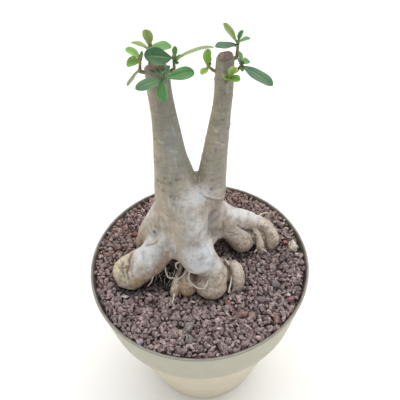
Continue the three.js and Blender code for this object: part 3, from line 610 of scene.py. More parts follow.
class Finish:
    """A material being made: its nodes, its shader, and the place that its patterns read, which is in the
    piece's own coordinates."""

    def __init__(self, name):
        self.material = bpy.data.materials.new(name)
        self.material.use_nodes = True
        self.tree = self.material.node_tree
        self.tree.nodes.clear()
        surface = self.add("shader")
        self.shader = surface.node
        self.place = self.add("place")
        self.add("output", surface)

    def add(self, kind, *values, **settings):
        """Adds a node. The values go to its sockets, an output of another node as a link, a hex colour as its
        linear one, and the settings to the node itself. It gives back the output that is read."""
        label, sockets, read, fixed = NODES[kind]
        node = self.tree.nodes.new("ShaderNode" + label)
        for name, value in {**fixed, **settings}.items():
            setattr(node, name, value)
        for name, value in zip(sockets, values):
            socket = next(s for s in node.inputs if s.identifier == name)
            if isinstance(value, bpy.types.NodeSocket):
                self.tree.links.new(value, socket)
            else:
                socket.default_value = linear(value) if isinstance(value, str) else value
        return next((s for s in node.outputs if s.identifier == read), None)

    def layers(self, shade, *rows):
        """The shade with each row's colour laid over it in turn. A row is a colour and a share, or a colour,
        a pattern and the range of it that is mapped smoothly to 0..1, or to the range that follows."""
        for colour, mask, *span in rows:
            share = self.add("range", mask, *span) if span else mask
            shade = self.add("mix", share, shade, colour)
        return shade

    def finished(self, shade, roughness, ior, *relief):
        """The material, with its colour, roughness and IOR, and with relief layers (pattern, height in
        millimetres), each laid over the one before, on the shader's normal."""
        self.tree.links.new(shade, self.shader.inputs["Base Color"])
        if isinstance(roughness, bpy.types.NodeSocket):
            self.tree.links.new(roughness, self.shader.inputs["Roughness"])
        else:
            self.shader.inputs["Roughness"].default_value = roughness
        self.shader.inputs["IOR"].default_value = ior
        normal = ()
        for height, distance in relief:
            normal = (self.add("bump", height, distance * MM, *normal),)
        if normal:
            self.tree.links.new(normal[0], self.shader.inputs["Normal"])
        return self.material


def moulded_polypropylene(settings):
    """Polypropylene, injection moulded with a fine matt texture: pale, soft highlights, and dusty in spots on
    the inside wall, where the grit has scuffed it. The rim's top edge is drawn a darker grey, and the band
    and the inside wall are painted darker as painted shade. The mould's grain is drawn coarser than it is, to
    show."""
    f = Finish("moulded polypropylene, matt beige")
    height = f.add("axes", f.place)
    inside = f.add("mark", attribute_name="inside")
    band_foot = settings.height - settings.band_height
    scuffs = f.add("noise", f.place, blobs(3), 4, PLAIN)
    dust = f.add("math", f.add("range", scuffs, 0.35, 0.7), inside)
    shade = f.layers(
        settings.plastic,
        ("#C3BBA0", f.add("noise", f.place, blobs(14), 4, PLAIN), 0.3, 0.7, 0.0, 0.5),
        # The band above its foot is painted darker and greener than the body: painted shade.
        ("#ACAB98", height, band_foot - 1 * MM, band_foot + 2 * MM, 0.0, 0.75),
        # The rim's top edge, drawn a darker grey.
        (settings.rim_edge_grey, height, settings.height - 1.3 * MM, settings.height - 0.6 * MM),
        # The inside wall is painted darker: painted shade.
        ("#6B645B", f.add("math", inside, 0.85)),
        ("#3F3734", f.add("math", dust, 0.5)),
    )
    roughness = f.add("range", f.add("noise", f.place, blobs(6), 3, PLAIN), 0.3, 0.7, 0.42, 0.56)
    return f.finished(shade, roughness, 1.49, (f.add("noise", f.place, blobs(0.5), 2, PLAIN), 0.03))


def crushed_lava():
    """Crushed lava stone, dry and unwashed: dull, porous, purplish brown with some red and pale chips. Its
    pores are 0.2 to 1 mm wide; those under 0.6 mm are left to the roughness."""
    f = Finish("crushed lava stone, dry")
    shade = f.layers(
        f.add("tint", attribute_name="stone_colour"),
        ("#453A3B", f.add("noise", f.place, blobs(1.1), 4, 0.75), 0.54, 0.38, 0.0, 0.75),
        ("#C4B8B5", f.add("noise", f.place, blobs(1.2), 4, 0.7), 0.55, 0.68, 0.0, 0.55),
    )
    return f.finished(shade, 0.92, 1.5, (f.add("noise", f.place, blobs(0.6), 3, 0.7), 0.25))


def lava_fines(settings):
    """Lava fines and dust that lie deep between the stones, painted nearly black: painted shade of the gaps
    where no light gets in.
    """
    f = Finish("lava fines, dry")
    speck = f.add("noise", f.place, blobs(1.1), 4, 0.7)
    shade = f.layers("#2E2625", (settings.hollow, speck, 0.35, 0.65))
    return f.finished(shade, 0.95, 1.5, (speck, 0.5))


def living_bark(settings):
    """Living adenium bark, smooth and waxy over green tissue: pale grey beige, mottled, with a chalky coat on
    what faces the sky that is partly painted light, painted highlights on the front, a warm painted light on
    the sides facing left, fine rings across the stems, ochre and crusted on the root ends that grew in the
    grit, pale where scoured and painted light on two roots, dark soil and painted shade in the folds, and
    painted shade in two hollows and at the left stem's top, whose bark is darker as well."""
    f = Finish("living bark, smooth with a chalky bloom")
    stem, bulb, fold, scar_stain_and_painted_shade, cut, rings, painted_warm_left_light, bloom_and_painted_light, pale = (
        f.add("mark", attribute_name=name)
        for name in ("stem", "bulb", "fold", "scar_stain_and_painted_shade", "cut", "ring_shade", "painted_warm_left_light", "bloom_and_painted_light", "pale")
    )
    across, _, upward = f.add("axes", f.place).node.outputs

    # Clouds of a finger's width, swells drawn up the trunk, and a mottle of a few millimetres.
    clouds = f.add("noise", f.place, blobs(10), 5, PLAIN)
    swells = f.add("noise", f.add("stretch", f.place, (1, 1, 1 / 1.8)), blobs(17), 3, PLAIN)
    mottle = f.add("noise", f.place, blobs(3.4), 5, 0.7)
    shade = f.layers(
        settings.bark,
        ("#A2958A", clouds, 0.4, 0.6),
        ("#9C9E9B", swells, 0.5, 0.6, 0.0, 0.85),
        ("#CBBBA9", mottle, 0.5, 0.64, 0.0, 0.8),
        ("#8E8377", mottle, 0.48, 0.36, 0.0, 0.8),
    )

    # The stems are greener and darker. Towards the left one's top they are darker still: partly darker bark,
    # partly painted shade under the leaves.
    left_stem = f.add("range", across, 2 * MM, -2 * MM, 0.5, 1)
    painted_leaf_shade_and_dark_bark = f.add("math", f.add("range", upward, 285 * MM, 335 * MM), left_stem)
    stem_shade = f.layers(
        settings.stem,
        ("#928F80", clouds, 0.35, 0.65),
        ("#8E938E", swells, 0.46, 0.6, 0.0, 0.7),
        ("#B0A793", mottle, 0.52, 0.7, 0.0, 0.5),
        ("#7C776A", mottle, 0.46, 0.32, 0.0, 0.5),
        ("#67625A", f.add("math", painted_leaf_shade_and_dark_bark, 0.5)),
    )

    # The root ends that grew in the grit are blotched and crusted, tanned on the left, straw at the left end.
    blotch = f.add("noise", f.place, blobs(4.2), 5, 0.7)
    left = f.add("range", across, 0, -12 * MM, 0.35, 0.85)
    tan = f.add("noise", f.place, blobs(7), 4, PLAIN)
    tan = f.add("math", f.add("range", tan, 0.38, 0.58), left)
    left_end = f.add("range", across, -52 * MM, -62 * MM)
    straw = f.add("math", left_end, f.add("range", blotch, 0.4, 0.56, 0.2, 0.8))
    root_shade = f.layers(
        "#92877A",
        (settings.root, blotch, 0.4, 0.58),
        ("#AB8F6C", tan),
        ("#CBBF9F", straw),
        ("#CFC6B6", f.add("noise", f.place, blobs(1.5), 4, 0.75), 0.55, 0.68, 0.0, 0.75),
        ("#5F5244", f.add("noise", f.place, blobs(1.3), 4, 0.75), 0.45, 0.36, 0.0, 0.8),
    )

    # The chalky coat with its painted highlights, cracks across the bark, fibres up it, specks, soil and
    # painted shade in the folds, and the wood of the cuts. The cracks and fibres are really finer than 0.5
    # mm, and are drawn as coarse as they need to show.
    chalk_and_painted_highlight = f.layers("#E2E1DE", ("#D2D8DB", clouds, 0.4, 0.6))
    bloom_and_painted_light = f.add("math", bloom_and_painted_light, f.add("range", mottle, 0.28, 0.56, 0.35, 1.0))
    streak = f.add("noise", f.add("stretch", f.place, (1 / 6, 1 / 6, 1)), blobs(0.8), 3, PLAIN)
    streaks = f.add("math", f.add("range", streak, 0.56, 0.36), f.add("range", stem, 0, 1, 0.1, 0.35))
    fibre = f.add("noise", f.add("stretch", f.place, (1, 1, 1 / 7)), blobs(1.1), 3, PLAIN)
    fibres = f.add("math", f.add("range", fibre, 0.54, 0.68), f.add("range", stem, 0, 1, 0.5, 0.2))
    speck = f.add("range", f.add("noise", f.place, blobs(1.2), 4, 0.75), 0.61, 0.69)
    # The folds are darkened: partly soil, partly painted shade.
    dirt_and_painted_shade = f.add("noise", f.place, blobs(1.6), 4, PLAIN)
    dirt_and_painted_shade = f.add("math", fold, f.add("range", dirt_and_painted_shade, 0.25, 0.6, 0.55, 1.0))
    wood = f.layers("#5A4038", (settings.cut_wood, f.add("noise", f.place, blobs(1.2), 4, 0.7), 0.38, 0.6))
    shade = f.layers(
        shade,
        (stem_shade, stem),
        # A warm painted light on the sides facing left.
        ("#B9AC88", f.add("math", painted_warm_left_light, 0.5)),
        (root_shade, bulb),
        (chalk_and_painted_highlight, f.add("math", bloom_and_painted_light, 0.9)),
        ("#7D7362", streaks),
        ("#D3CCC1", fibres),
        ("#6E6353", f.add("math", rings, 0.2)),
        ("#6F604F", f.add("math", speck, 0.65)),
        # Scoured pale lines, and painted light on two roots.
        ("#E2DACE", pale),
        # Scars and dark staining, and painted shade in the hollows.
        ("#54463A", scar_stain_and_painted_shade),
        (settings.fold_dirt_and_painted_shade, dirt_and_painted_shade),
        (wood, cut),
    )
    roughness = f.add("range", clouds, 0.3, 0.7, 0.5, 0.68)
    wrinkles = f.add("math", f.add("noise", f.place, blobs(1.6), 4, 0.6), bulb)
    pores = f.add("noise", f.place, blobs(0.7), 4, 0.7)
    relief = (streak, 0.12), (mottle, 0.3), (blotch, 0.4), (wrinkles, 0.9), (pores, 0.1)
    return f.finished(shade, roughness, 1.45, *relief)


def dry_root(settings):
    """Dried feeder roots: grey straw and brown, the young ones nearly white, fibrous."""
    f = Finish("dried feeder root, fibrous")
    shade = f.layers(
        settings.straw,
        ("#7F6F5A", f.add("noise", f.place, blobs(2.2), 4, PLAIN), 0.35, 0.65),
        ("#DDD6C9", f.add("mark", attribute_name="pale")),
    )
    return f.finished(shade, 0.8, 1.45, (f.add("noise", f.place, blobs(0.5), 3, PLAIN), 0.15))


def waxy_leaf():
    """A fleshy adenium leaf: smooth and waxy with a satin gloss, a pale midrib, faint side veins and a pale,
    thin margin, which the light comes through. Its UV runs from foot to tip and from side to side."""
    f = Finish("fleshy leaf, waxy satin")
    vein_turns, vein_slant = 62.0, 26.0  # radians of side veins along the leaf, and how far they sweep
    along, across, _ = f.add("axes", f.add("uv")).node.outputs
    side = f.add("math", f.add("math", across, 0.5, operation="SUBTRACT"), operation="ABSOLUTE")
    rib = f.add("math", f.add("range", side, 0.075, 0.015), f.add("range", along, 1.0, 0.5, 0.25, 1.0))
    edge = f.add("range", side, 0.44, 0.485)
    sweep = f.add("math", side, vein_slant)
    slant = f.add("math", f.add("math", along, vein_turns), sweep, operation="SUBTRACT")
    vein = f.add("range", f.add("math", slant, operation="SINE"), 0.55, 1.0)
    tip = f.add("range", along, 0.93, 1.0)
    clouds = f.add("noise", f.place, blobs(2.5), 3, PLAIN)
    shade = f.layers(f.add("tint", attribute_name="leaf_colour"), ("#86A458", clouds, 0.3, 0.7, 0.0, 0.2))
    deeper = f.add("mix", 1.0, shade, "#C8DCC0", blend_type="MULTIPLY")
    shade = f.layers(
        shade,
        (deeper, side, 0.3, 0.02),
        ("#A0BE78", f.add("math", vein, 0.08)),
        ("#A9C587", f.add("math", rib, 0.26)),
        ("#A8C07E", f.add("math", edge, 0.4)),
        ("#94694F", f.add("math", tip, 0.35)),
    )
    f.shader.inputs["Subsurface Weight"].default_value = 0.12
    f.shader.inputs["Subsurface Radius"].default_value = (0.4 * MM, 0.9 * MM, 0.3 * MM)
    f.shader.inputs["Subsurface Scale"].default_value = 1.0
    roughness = f.add("range", clouds, 0.3, 0.7, 0.36, 0.48)
    return f.finished(shade, roughness, 1.45, (f.add("noise", f.place, blobs(0.6), 3, PLAIN), 0.04))


def young_twig(settings):
    """A young green twig turning to bark: olive brown, satin, with paler specks."""
    f = Finish("young twig, half green")
    blotch = f.add("noise", f.place, blobs(1.2), 4, PLAIN)
    return f.finished(f.layers(settings.twig, ("#8F8460", blotch, 0.35, 0.65)), 0.6, 1.45, (blotch, 0.1))


def pale_floor(settings):
    """Seamless studio paper: matt and nearly white, with no visible grain from a step away."""
    f = Finish("studio paper, matt")
    clouds = f.add("noise", f.place, blobs(40), 2, PLAIN)
    return f.finished(f.layers(settings.floor_paper, ("#E9E7E2", clouds, 0.3, 0.7, 0.0, 0.1)), 0.9, 1.5)


# ---------------------------------------------------------------- the pot


ROUND_SIDES = 240  # sides of the pot and of the bed
DRAIN_SIDES = 32  # sides of a drain hole


def rounded(corners, steps=5):
    """An outline through corners [radius, height, rounding]: each corner p is the curve
    (1-t)²a + 2t(1-t)p + t²b between the points a and b that lie its rounding away along its sides."""
    corners = np.asarray(corners, float)
    outline = [corners[:1, :2]]
    t = np.linspace(0, 1, steps)[:, None]
    for before, corner, after in zip(corners[:-2], corners[1:-1], corners[2:]):
        p = corner[:2]
        a = p + unit(before[:2] - p) * corner[2]
        b = p + unit(after[:2] - p) * corner[2]
        outline.append((1 - t) ** 2 * a + 2 * t * (1 - t) * p + t**2 * b)
    outline.append(corners[-1:, :2])
    return np.concatenate(outline)


def lathe(outline, segments):
    """The outline turned about the Z axis: P(u, v) = (r(v) cos u, r(v) sin u, z(v)), closed by a pole at the
    height of each end."""
    angle = 2 * np.pi * np.arange(segments) / segments
    radius, height = outline.T
    level = np.tile(height[:, None], segments)
    rings = np.stack([np.outer(radius, np.cos(angle)), np.outer(radius, np.sin(angle)), level], -1)
    return closed(rings, [0, 0, height[0]], [0, 0, height[-1]])


def body_radius(pot, z):
    """Outer radius of the pot's body, a cone from the foot to the band."""
    return pot.foot_radius + (pot.body_top_radius - pot.foot_radius) * z / (pot.height - pot.band_height)


def band_radius(pot, z):
    """Outer radius of the band, a slightly flared cone from its lower edge to the rim."""
    rise = (z - pot.height + pot.band_height) / pot.band_height
    return pot.band_foot_radius + (pot.rim_radius - pot.band_foot_radius) * rise


def pot_outline(pot):
    """The pot's section from the middle of its underside, out, up, over the rim and down to the floor."""
    band_foot = pot.height - pot.band_height
    floor_top = pot.foot_height + pot.floor
    step = 3 * MM
    mouth = pot.height - 1 * MM
    corners = [
        [0.5 * MM, pot.foot_height, 0],
        [pot.foot_inner_radius - 2 * MM, pot.foot_height, 0.8 * MM],
        [pot.foot_inner_radius, 0, 0.8 * MM],
        [pot.foot_radius, 0, 1.2 * MM],
        [body_radius(pot, 0.5 * band_foot), 0.5 * band_foot, 1 * MM],
        [pot.body_top_radius, band_foot, 0.8 * MM],
        [pot.band_foot_radius - 0.6 * MM, band_foot, 0.5 * MM],
        [pot.band_foot_radius, band_foot + 1.2 * MM, 0.7 * MM],
        [band_radius(pot, band_foot + 9 * MM), band_foot + 9 * MM, 0.5 * MM],
        [band_radius(pot, pot.height - 6 * MM), pot.height - 6 * MM, 0.8 * MM],
        [pot.rim_radius - 0.5 * MM, pot.height - 3 * MM, 0.8 * MM],
        [pot.rim_radius, pot.height - 1.6 * MM, 0.5 * MM],
        [pot.rim_radius - 0.2 * MM, pot.height, 0.5 * MM],
        [pot.rim_radius - pot.wall, pot.height, 0.6 * MM],
        [band_radius(pot, mouth) - pot.wall - 0.3 * MM, mouth, 0.3 * MM],
        [band_radius(pot, band_foot + step) - pot.wall, band_foot + step, 1 * MM],
        [body_radius(pot, band_foot - step) - pot.wall, band_foot - step, 1 * MM],
        [body_radius(pot, floor_top) - pot.wall, floor_top, 1.5 * MM],
        [0.5 * MM, floor_top, 0],
    ]
    return rounded(corners)


def build_pot(pot):
    """The pot: a turned shell, drilled through the floor by a cylinder for each drain hole."""
    shell = new_mesh("shell", *lathe(pot_outline(pot), ROUND_SIDES))
    turns = 2 * np.pi * np.arange(pot.drain_count) / max(pot.drain_count, 1)
    places = np.concatenate([[[0, 0]], pot.drain_ring * np.stack([np.cos(turns), np.sin(turns)], -1)])
    low, high = pot.foot_height - 1 * MM, pot.foot_height + pot.floor + 1 * MM
    drills = []
    for x, y in places:
        points, faces = lathe(np.array([[pot.drain_radius, low], [pot.drain_radius, high]]), DRAIN_SIDES)
        drills.append((points + [x, y, 0], faces))
    cutter = linked("drills", new_mesh("drills", *joined(drills)))
    cut_away = {"object": cutter, "operation": "DIFFERENCE", "solver": "EXACT"}
    drilled = with_modifiers(shell, ("BOOLEAN", cut_away))
    bpy.data.objects.remove(cutter)
    x, y, z = mesh_points(drilled).T
    outer = np.where(z > pot.height - pot.band_height, band_radius(pot, z), body_radius(pot, z))
    inside = (np.hypot(x, y) < outer - 0.7 * pot.wall) & (z > pot.foot_height)
    mark = drilled.attributes.new("inside", "FLOAT", "POINT")
    mark.data.foreach_set("value", inside.astype(np.float32))
    new_piece("pot_shell", drilled, [moulded_polypropylene(pot)], "pot")


# ---------------------------------------------------------------- the grit

# Larger or odd-coloured stones: place across and along in millimetres, mean diameter, colour.
ODD_STONES = (
    (85.1, 5.9, 10.5, "#CFC3B4"), (79.4, 11.8, 6, "#A87F7A"), (-62.8, -34.6, 4, "#DDD0CE"),
    (-7.2, -42.4, 3.2, "#E2DBD3"), (-47.8, -76.4, 6, "#A89AA0"), (-11.2, -65.3, 8, "#8E877F"),
    (-10.9, -76.4, 7.5, "#8D8782"), (33.8, -55.8, 8.5, "#A2827A"), (71.7, -47.9, 6.5, "#96686A"),
    (57.6, -65.1, 7, "#936F6B"), (73.5, -12.3, 9.5, "#8F8079"), (63.5, -30.2, 9, "#84777A"),
    (48.4, -44, 8.5, "#86777B"), (39.1, -57.5, 7, "#967B74"), (55.4, -71.4, 7, "#AB9C92"),
    (21, -44.8, 5.5, "#9A7A64"), (-74, 18, 8, "#96786E"), (-60, 34, 7, "#9C7466"), (40, 72, 7, "#9A6F62"),
    (-30, 74, 7.5, "#8E7B75"), (78, 34, 6, "#B09A8C"), (-80, -20, 6, "#A68D84"), (14, -84, 7, "#94837C"),
)


# The hollow under the arch of the left roots, and the heap in the corner between the front root and the right
# root: middle, radii along X and Y, and height, in millimetres.
ARCH_HOLLOW = (-28, -19), (15, 11), -6.5
CORNER_HEAP = (15, 9), (12, 10), 8
# The bank against the wall: the radii between which it climbs, its height, and what it has more at the back.
BANK = 58 * MM, 88 * MM, 2.8, 2.2


def mound(x, y, middle, radii):
    """1 in the middle, fading out as exp(-q), with q the place over the radii, squared and added up."""
    return np.exp(-((x / MM - middle[0]) / radii[0]) ** 2 - ((y / MM - middle[1]) / radii[1]) ** 2)


def bed_level(grit, x, y):
    """Height of the bed: level with a slow swell, banked up against the wall, heaped and scooped out."""
    flat = np.stack([x, y, np.zeros_like(x)], -1)
    inner, outer, rise, more = BANK
    level = 0.7 * noise(flat, 28 * MM, 3)
    level += smooth_step(inner, outer, np.hypot(x, y)) * (rise + more * smooth_step(-30 * MM, 50 * MM, y))
    for middle, radii, height in (CORNER_HEAP, ARCH_HOLLOW):
        level += height * mound(x, y, middle, radii)
    return grit.level + MM * level


BREAKS = 10  # cutting planes of each stone


def chips(rng, centres, sizes, rings=3, sides=6):
    """Crushed stones: along each direction d of a small grid of directions the surface lies at the least of
    h / (d·n) over the stone's own random cutting planes n, so each stone is a chip with flat breaks. Each is
    then drawn out along its own axes and turned at random."""
    count = len(centres)
    polar = np.pi * (np.arange(rings) + 1) / (rings + 1)
    turn = 2 * np.pi * (np.arange(sides)[None, :] + 0.5 * (np.arange(rings)[:, None] % 2)) / sides
    ring = np.stack([np.sin(polar)[:, None] * np.cos(turn), np.sin(polar)[:, None] * np.sin(turn),
                     np.broadcast_to(np.cos(polar)[:, None], turn.shape)], -1).reshape(-1, 3)
    base = np.concatenate([ring, [[0, 0, 1], [0, 0, -1]]])
    directions = unit(base + rng.normal(0, 0.16, (count, len(base), 3)))
    planes = unit(rng.normal(size=(count, BREAKS, 3)))
    offsets = rng.uniform(0.6, 1.0, (count, 1, BREAKS))
    facing = np.einsum("svc,skc->svk", directions, planes)
    radius = np.clip((offsets / np.maximum(facing, 0.05)).min(axis=2), 0, 1.25)
    stretch = np.stack([rng.uniform(1.0, 1.8, count), np.ones(count), rng.uniform(0.5, 0.85, count)], -1)
    shape = directions * radius[..., None] * stretch[:, None]
    turned = np.linalg.qr(rng.normal(size=(count, 3, 3)) * [1, 1, 0.6])[0]
    turned *= np.sign(np.linalg.det(turned))[:, None, None]
    points = np.einsum("svc,sdc->svd", shape, turned) * sizes[:, None, None] / 2 + centres[:, None]
    rows = np.arange(rings * sides).reshape(rings, sides)
    quads = grid_faces(rings, sides)[:, ::-1]
    triangles = np.concatenate([quads[:, [0, 1, 2]], quads[:, [0, 2, 3]],
                                fan(rings * sides, rows[0]), fan(rings * sides + 1, rows[-1], turned=True)])
    faces = triangles[None] + (len(base) * np.arange(count))[:, None, None]
    return points.reshape(-1, 3), [faces.reshape(-1, 3)], len(base)


def scattered(rng, pot, grit, pitch, depth, spread):
    """Centres on a hexagonal lattice of the given pitch, each moved at random, depth under the level."""
    reach = pot.rim_radius
    rows = np.arange(-reach, reach, pitch * math.sqrt(0.75))
    columns = np.arange(-reach, reach, pitch)
    y, x = np.meshgrid(rows, columns, indexing="ij")
    x = x + np.where(np.arange(len(rows)) % 2, pitch / 2, 0)[:, None]
    x, y = ((a + rng.uniform(-0.32, 0.32, a.shape) * pitch).ravel() for a in (x, y))
    z = bed_level(grit, x, y) - depth + rng.uniform(-spread, spread, len(x))
    return np.stack([x, y, z], -1)


def kept(pot, centres, sizes):
    """Which stones lie inside the pot's wall and outside the trunk, with a share of their size to spare."""
    wall = band_radius(pot, centres[:, 2]) - pot.wall
    inside = np.hypot(centres[:, 0], centres[:, 1]) < wall - 0.36 * sizes
    return inside & (trunk_gap(centres) > 0.3 * sizes)


PALE_SHARE = 0.008  # how many of the stones are pale


def stone_tints(rng, grit, centres):
    """A linear colour for each stone: the lava colour at a random brightness, redder towards the back, with a
    few red and a few pale ones. Stones with the trunk just over them, and those in the hollow under the arch
    of the left roots, are darkened as painted shade."""
    count = len(centres)
    main, red, pale = (np.array(c[:]) for c in (grit.stone, grit.red_stone, grit.pale_stone))
    back = smooth_step(-20 * MM, 70 * MM, centres[:, 1] - 0.4 * centres[:, 0])
    redness = np.clip(rng.beta(0.5, 3.6, count) + 0.7 * back * rng.uniform(0, 1, count), 0, 1)[:, None]
    tint = main * (1 - redness) + red * redness
    tint = np.where((rng.uniform(size=count) < PALE_SHARE)[:, None], pale, tint)
    tint[:, :3] *= np.exp(rng.normal(0, 0.22, count))[:, None]
    # Painted shade under the trunk and in the arch's hollow.
    roof = trunk_gap(centres + [0, 0, 7 * MM])
    painted_root_shade = 0.8 * smooth_step(6 * MM, -1 * MM, roof)
    painted_root_shade = painted_root_shade + 0.95 * mound(centres[:, 0], centres[:, 1], *ARCH_HOLLOW[:2])
    tint[:, :3] *= 1 - np.minimum(painted_root_shade, 0.86)[:, None]
    return np.clip(tint, 0, 1)


FINES_DEPTH = 3.4 * MM  # how deep under the bed's level the fines lie
# The layers of stones: name, spacing over the pitch, depth and its spread, and brightness, which for the
# lower layer is painted shade.
LAYERS = (
    ("grit_lower", 1.12, 3.1 * MM, 0.7 * MM, 0.55),
    ("grit_upper", 1.0, 0.9 * MM, 0.9 * MM, 1.0),
)


def build_fines(pot, grit):
    """The bed under the stones: a lathed plug that fits the pot, its top a relief with a dusty roughness."""
    gap = 0.4 * MM
    inset = pot.wall + gap
    floor_top = pot.foot_height + pot.floor
    band_foot = pot.height - pot.band_height
    bend = 3 * MM
    top = grit.level - FINES_DEPTH
    side = [
        [0.5 * MM, floor_top + gap],
        [body_radius(pot, floor_top) - inset, floor_top + gap],
        [body_radius(pot, band_foot - bend) - inset, band_foot - bend],
        [band_radius(pot, band_foot + bend) - inset, band_foot + bend],
    ]
    rings = np.linspace(band_radius(pot, top) - inset, 0.5 * MM, 84)
    outline = np.concatenate([side, np.stack([rings, np.full(len(rings), top)], -1)])
    points, faces = lathe(outline, ROUND_SIDES)
    upper = points[:, 2] > top - 1 * MM
    x, y = points[upper, 0], points[upper, 1]
    rough = 0.9 * MM * noise(points[upper], 3.2 * MM, 5) + 0.5 * MM * noise(points[upper], 1.4 * MM, 6)
    points[upper, 2] = bed_level(grit, x, y) - FINES_DEPTH + rough
    new_piece("grit_fines", new_mesh("grit_fines", points, faces), [lava_fines(grit)], "grit_bed")


def with_odd_stones(grit, centres, sizes, tints):
    """The top layer with the larger and odd-coloured stones in place of those that lay there."""
    odd = np.array([row[:3] for row in ODD_STONES]) * MM
    x, y, size = odd.T
    shades = np.array([linear(row[3]) for row in ODD_STONES])
    near = np.hypot(*(centres[:, None, :2] - odd[None, :, :2]).transpose(2, 0, 1))
    clear = (near > 0.62 * size).all(axis=1)
    centres = np.concatenate([centres[clear], np.stack([x, y, bed_level(grit, x, y) - 0.1 * size], -1)])
    return centres, np.concatenate([sizes[clear], size]), np.concatenate([tints[clear], shades])


def build_grit(pot, grit):
    """The bed: a relief of fines painted dark as painted shade, and two layers of stones over it, the lower
    one darkened as painted shade.
    """
    rng = np.random.default_rng(SEED)
    build_fines(pot, grit)
    stone = crushed_lava()
    for name, spacing, depth, spread, brightness in LAYERS:
        centres = scattered(rng, pot, grit, grit.pitch * spacing, depth, spread)
        sizes = grit.smallest + (grit.largest - grit.smallest) * rng.beta(1.6, 2.6, len(centres))
        good = kept(pot, centres, sizes)
        centres, sizes = centres[good], sizes[good]
        tints = stone_tints(rng, grit, centres)
        # The lower layer's brightness of 0.55 is painted shade of the deeper stones.
        tints[:, :3] *= brightness
        if name == "grit_upper":
            centres, sizes, tints = with_odd_stones(grit, centres, sizes, tints)
        points, faces, corners = chips(rng, centres, sizes)
        colours = {"stone_colour": np.repeat(tints, corners, 0)}
        mesh = new_mesh(name, points, faces, smooth=False, colours=colours)
        new_piece(name, mesh, [stone], "grit_bed")


# ---------------------------------------------------------------- the trunk

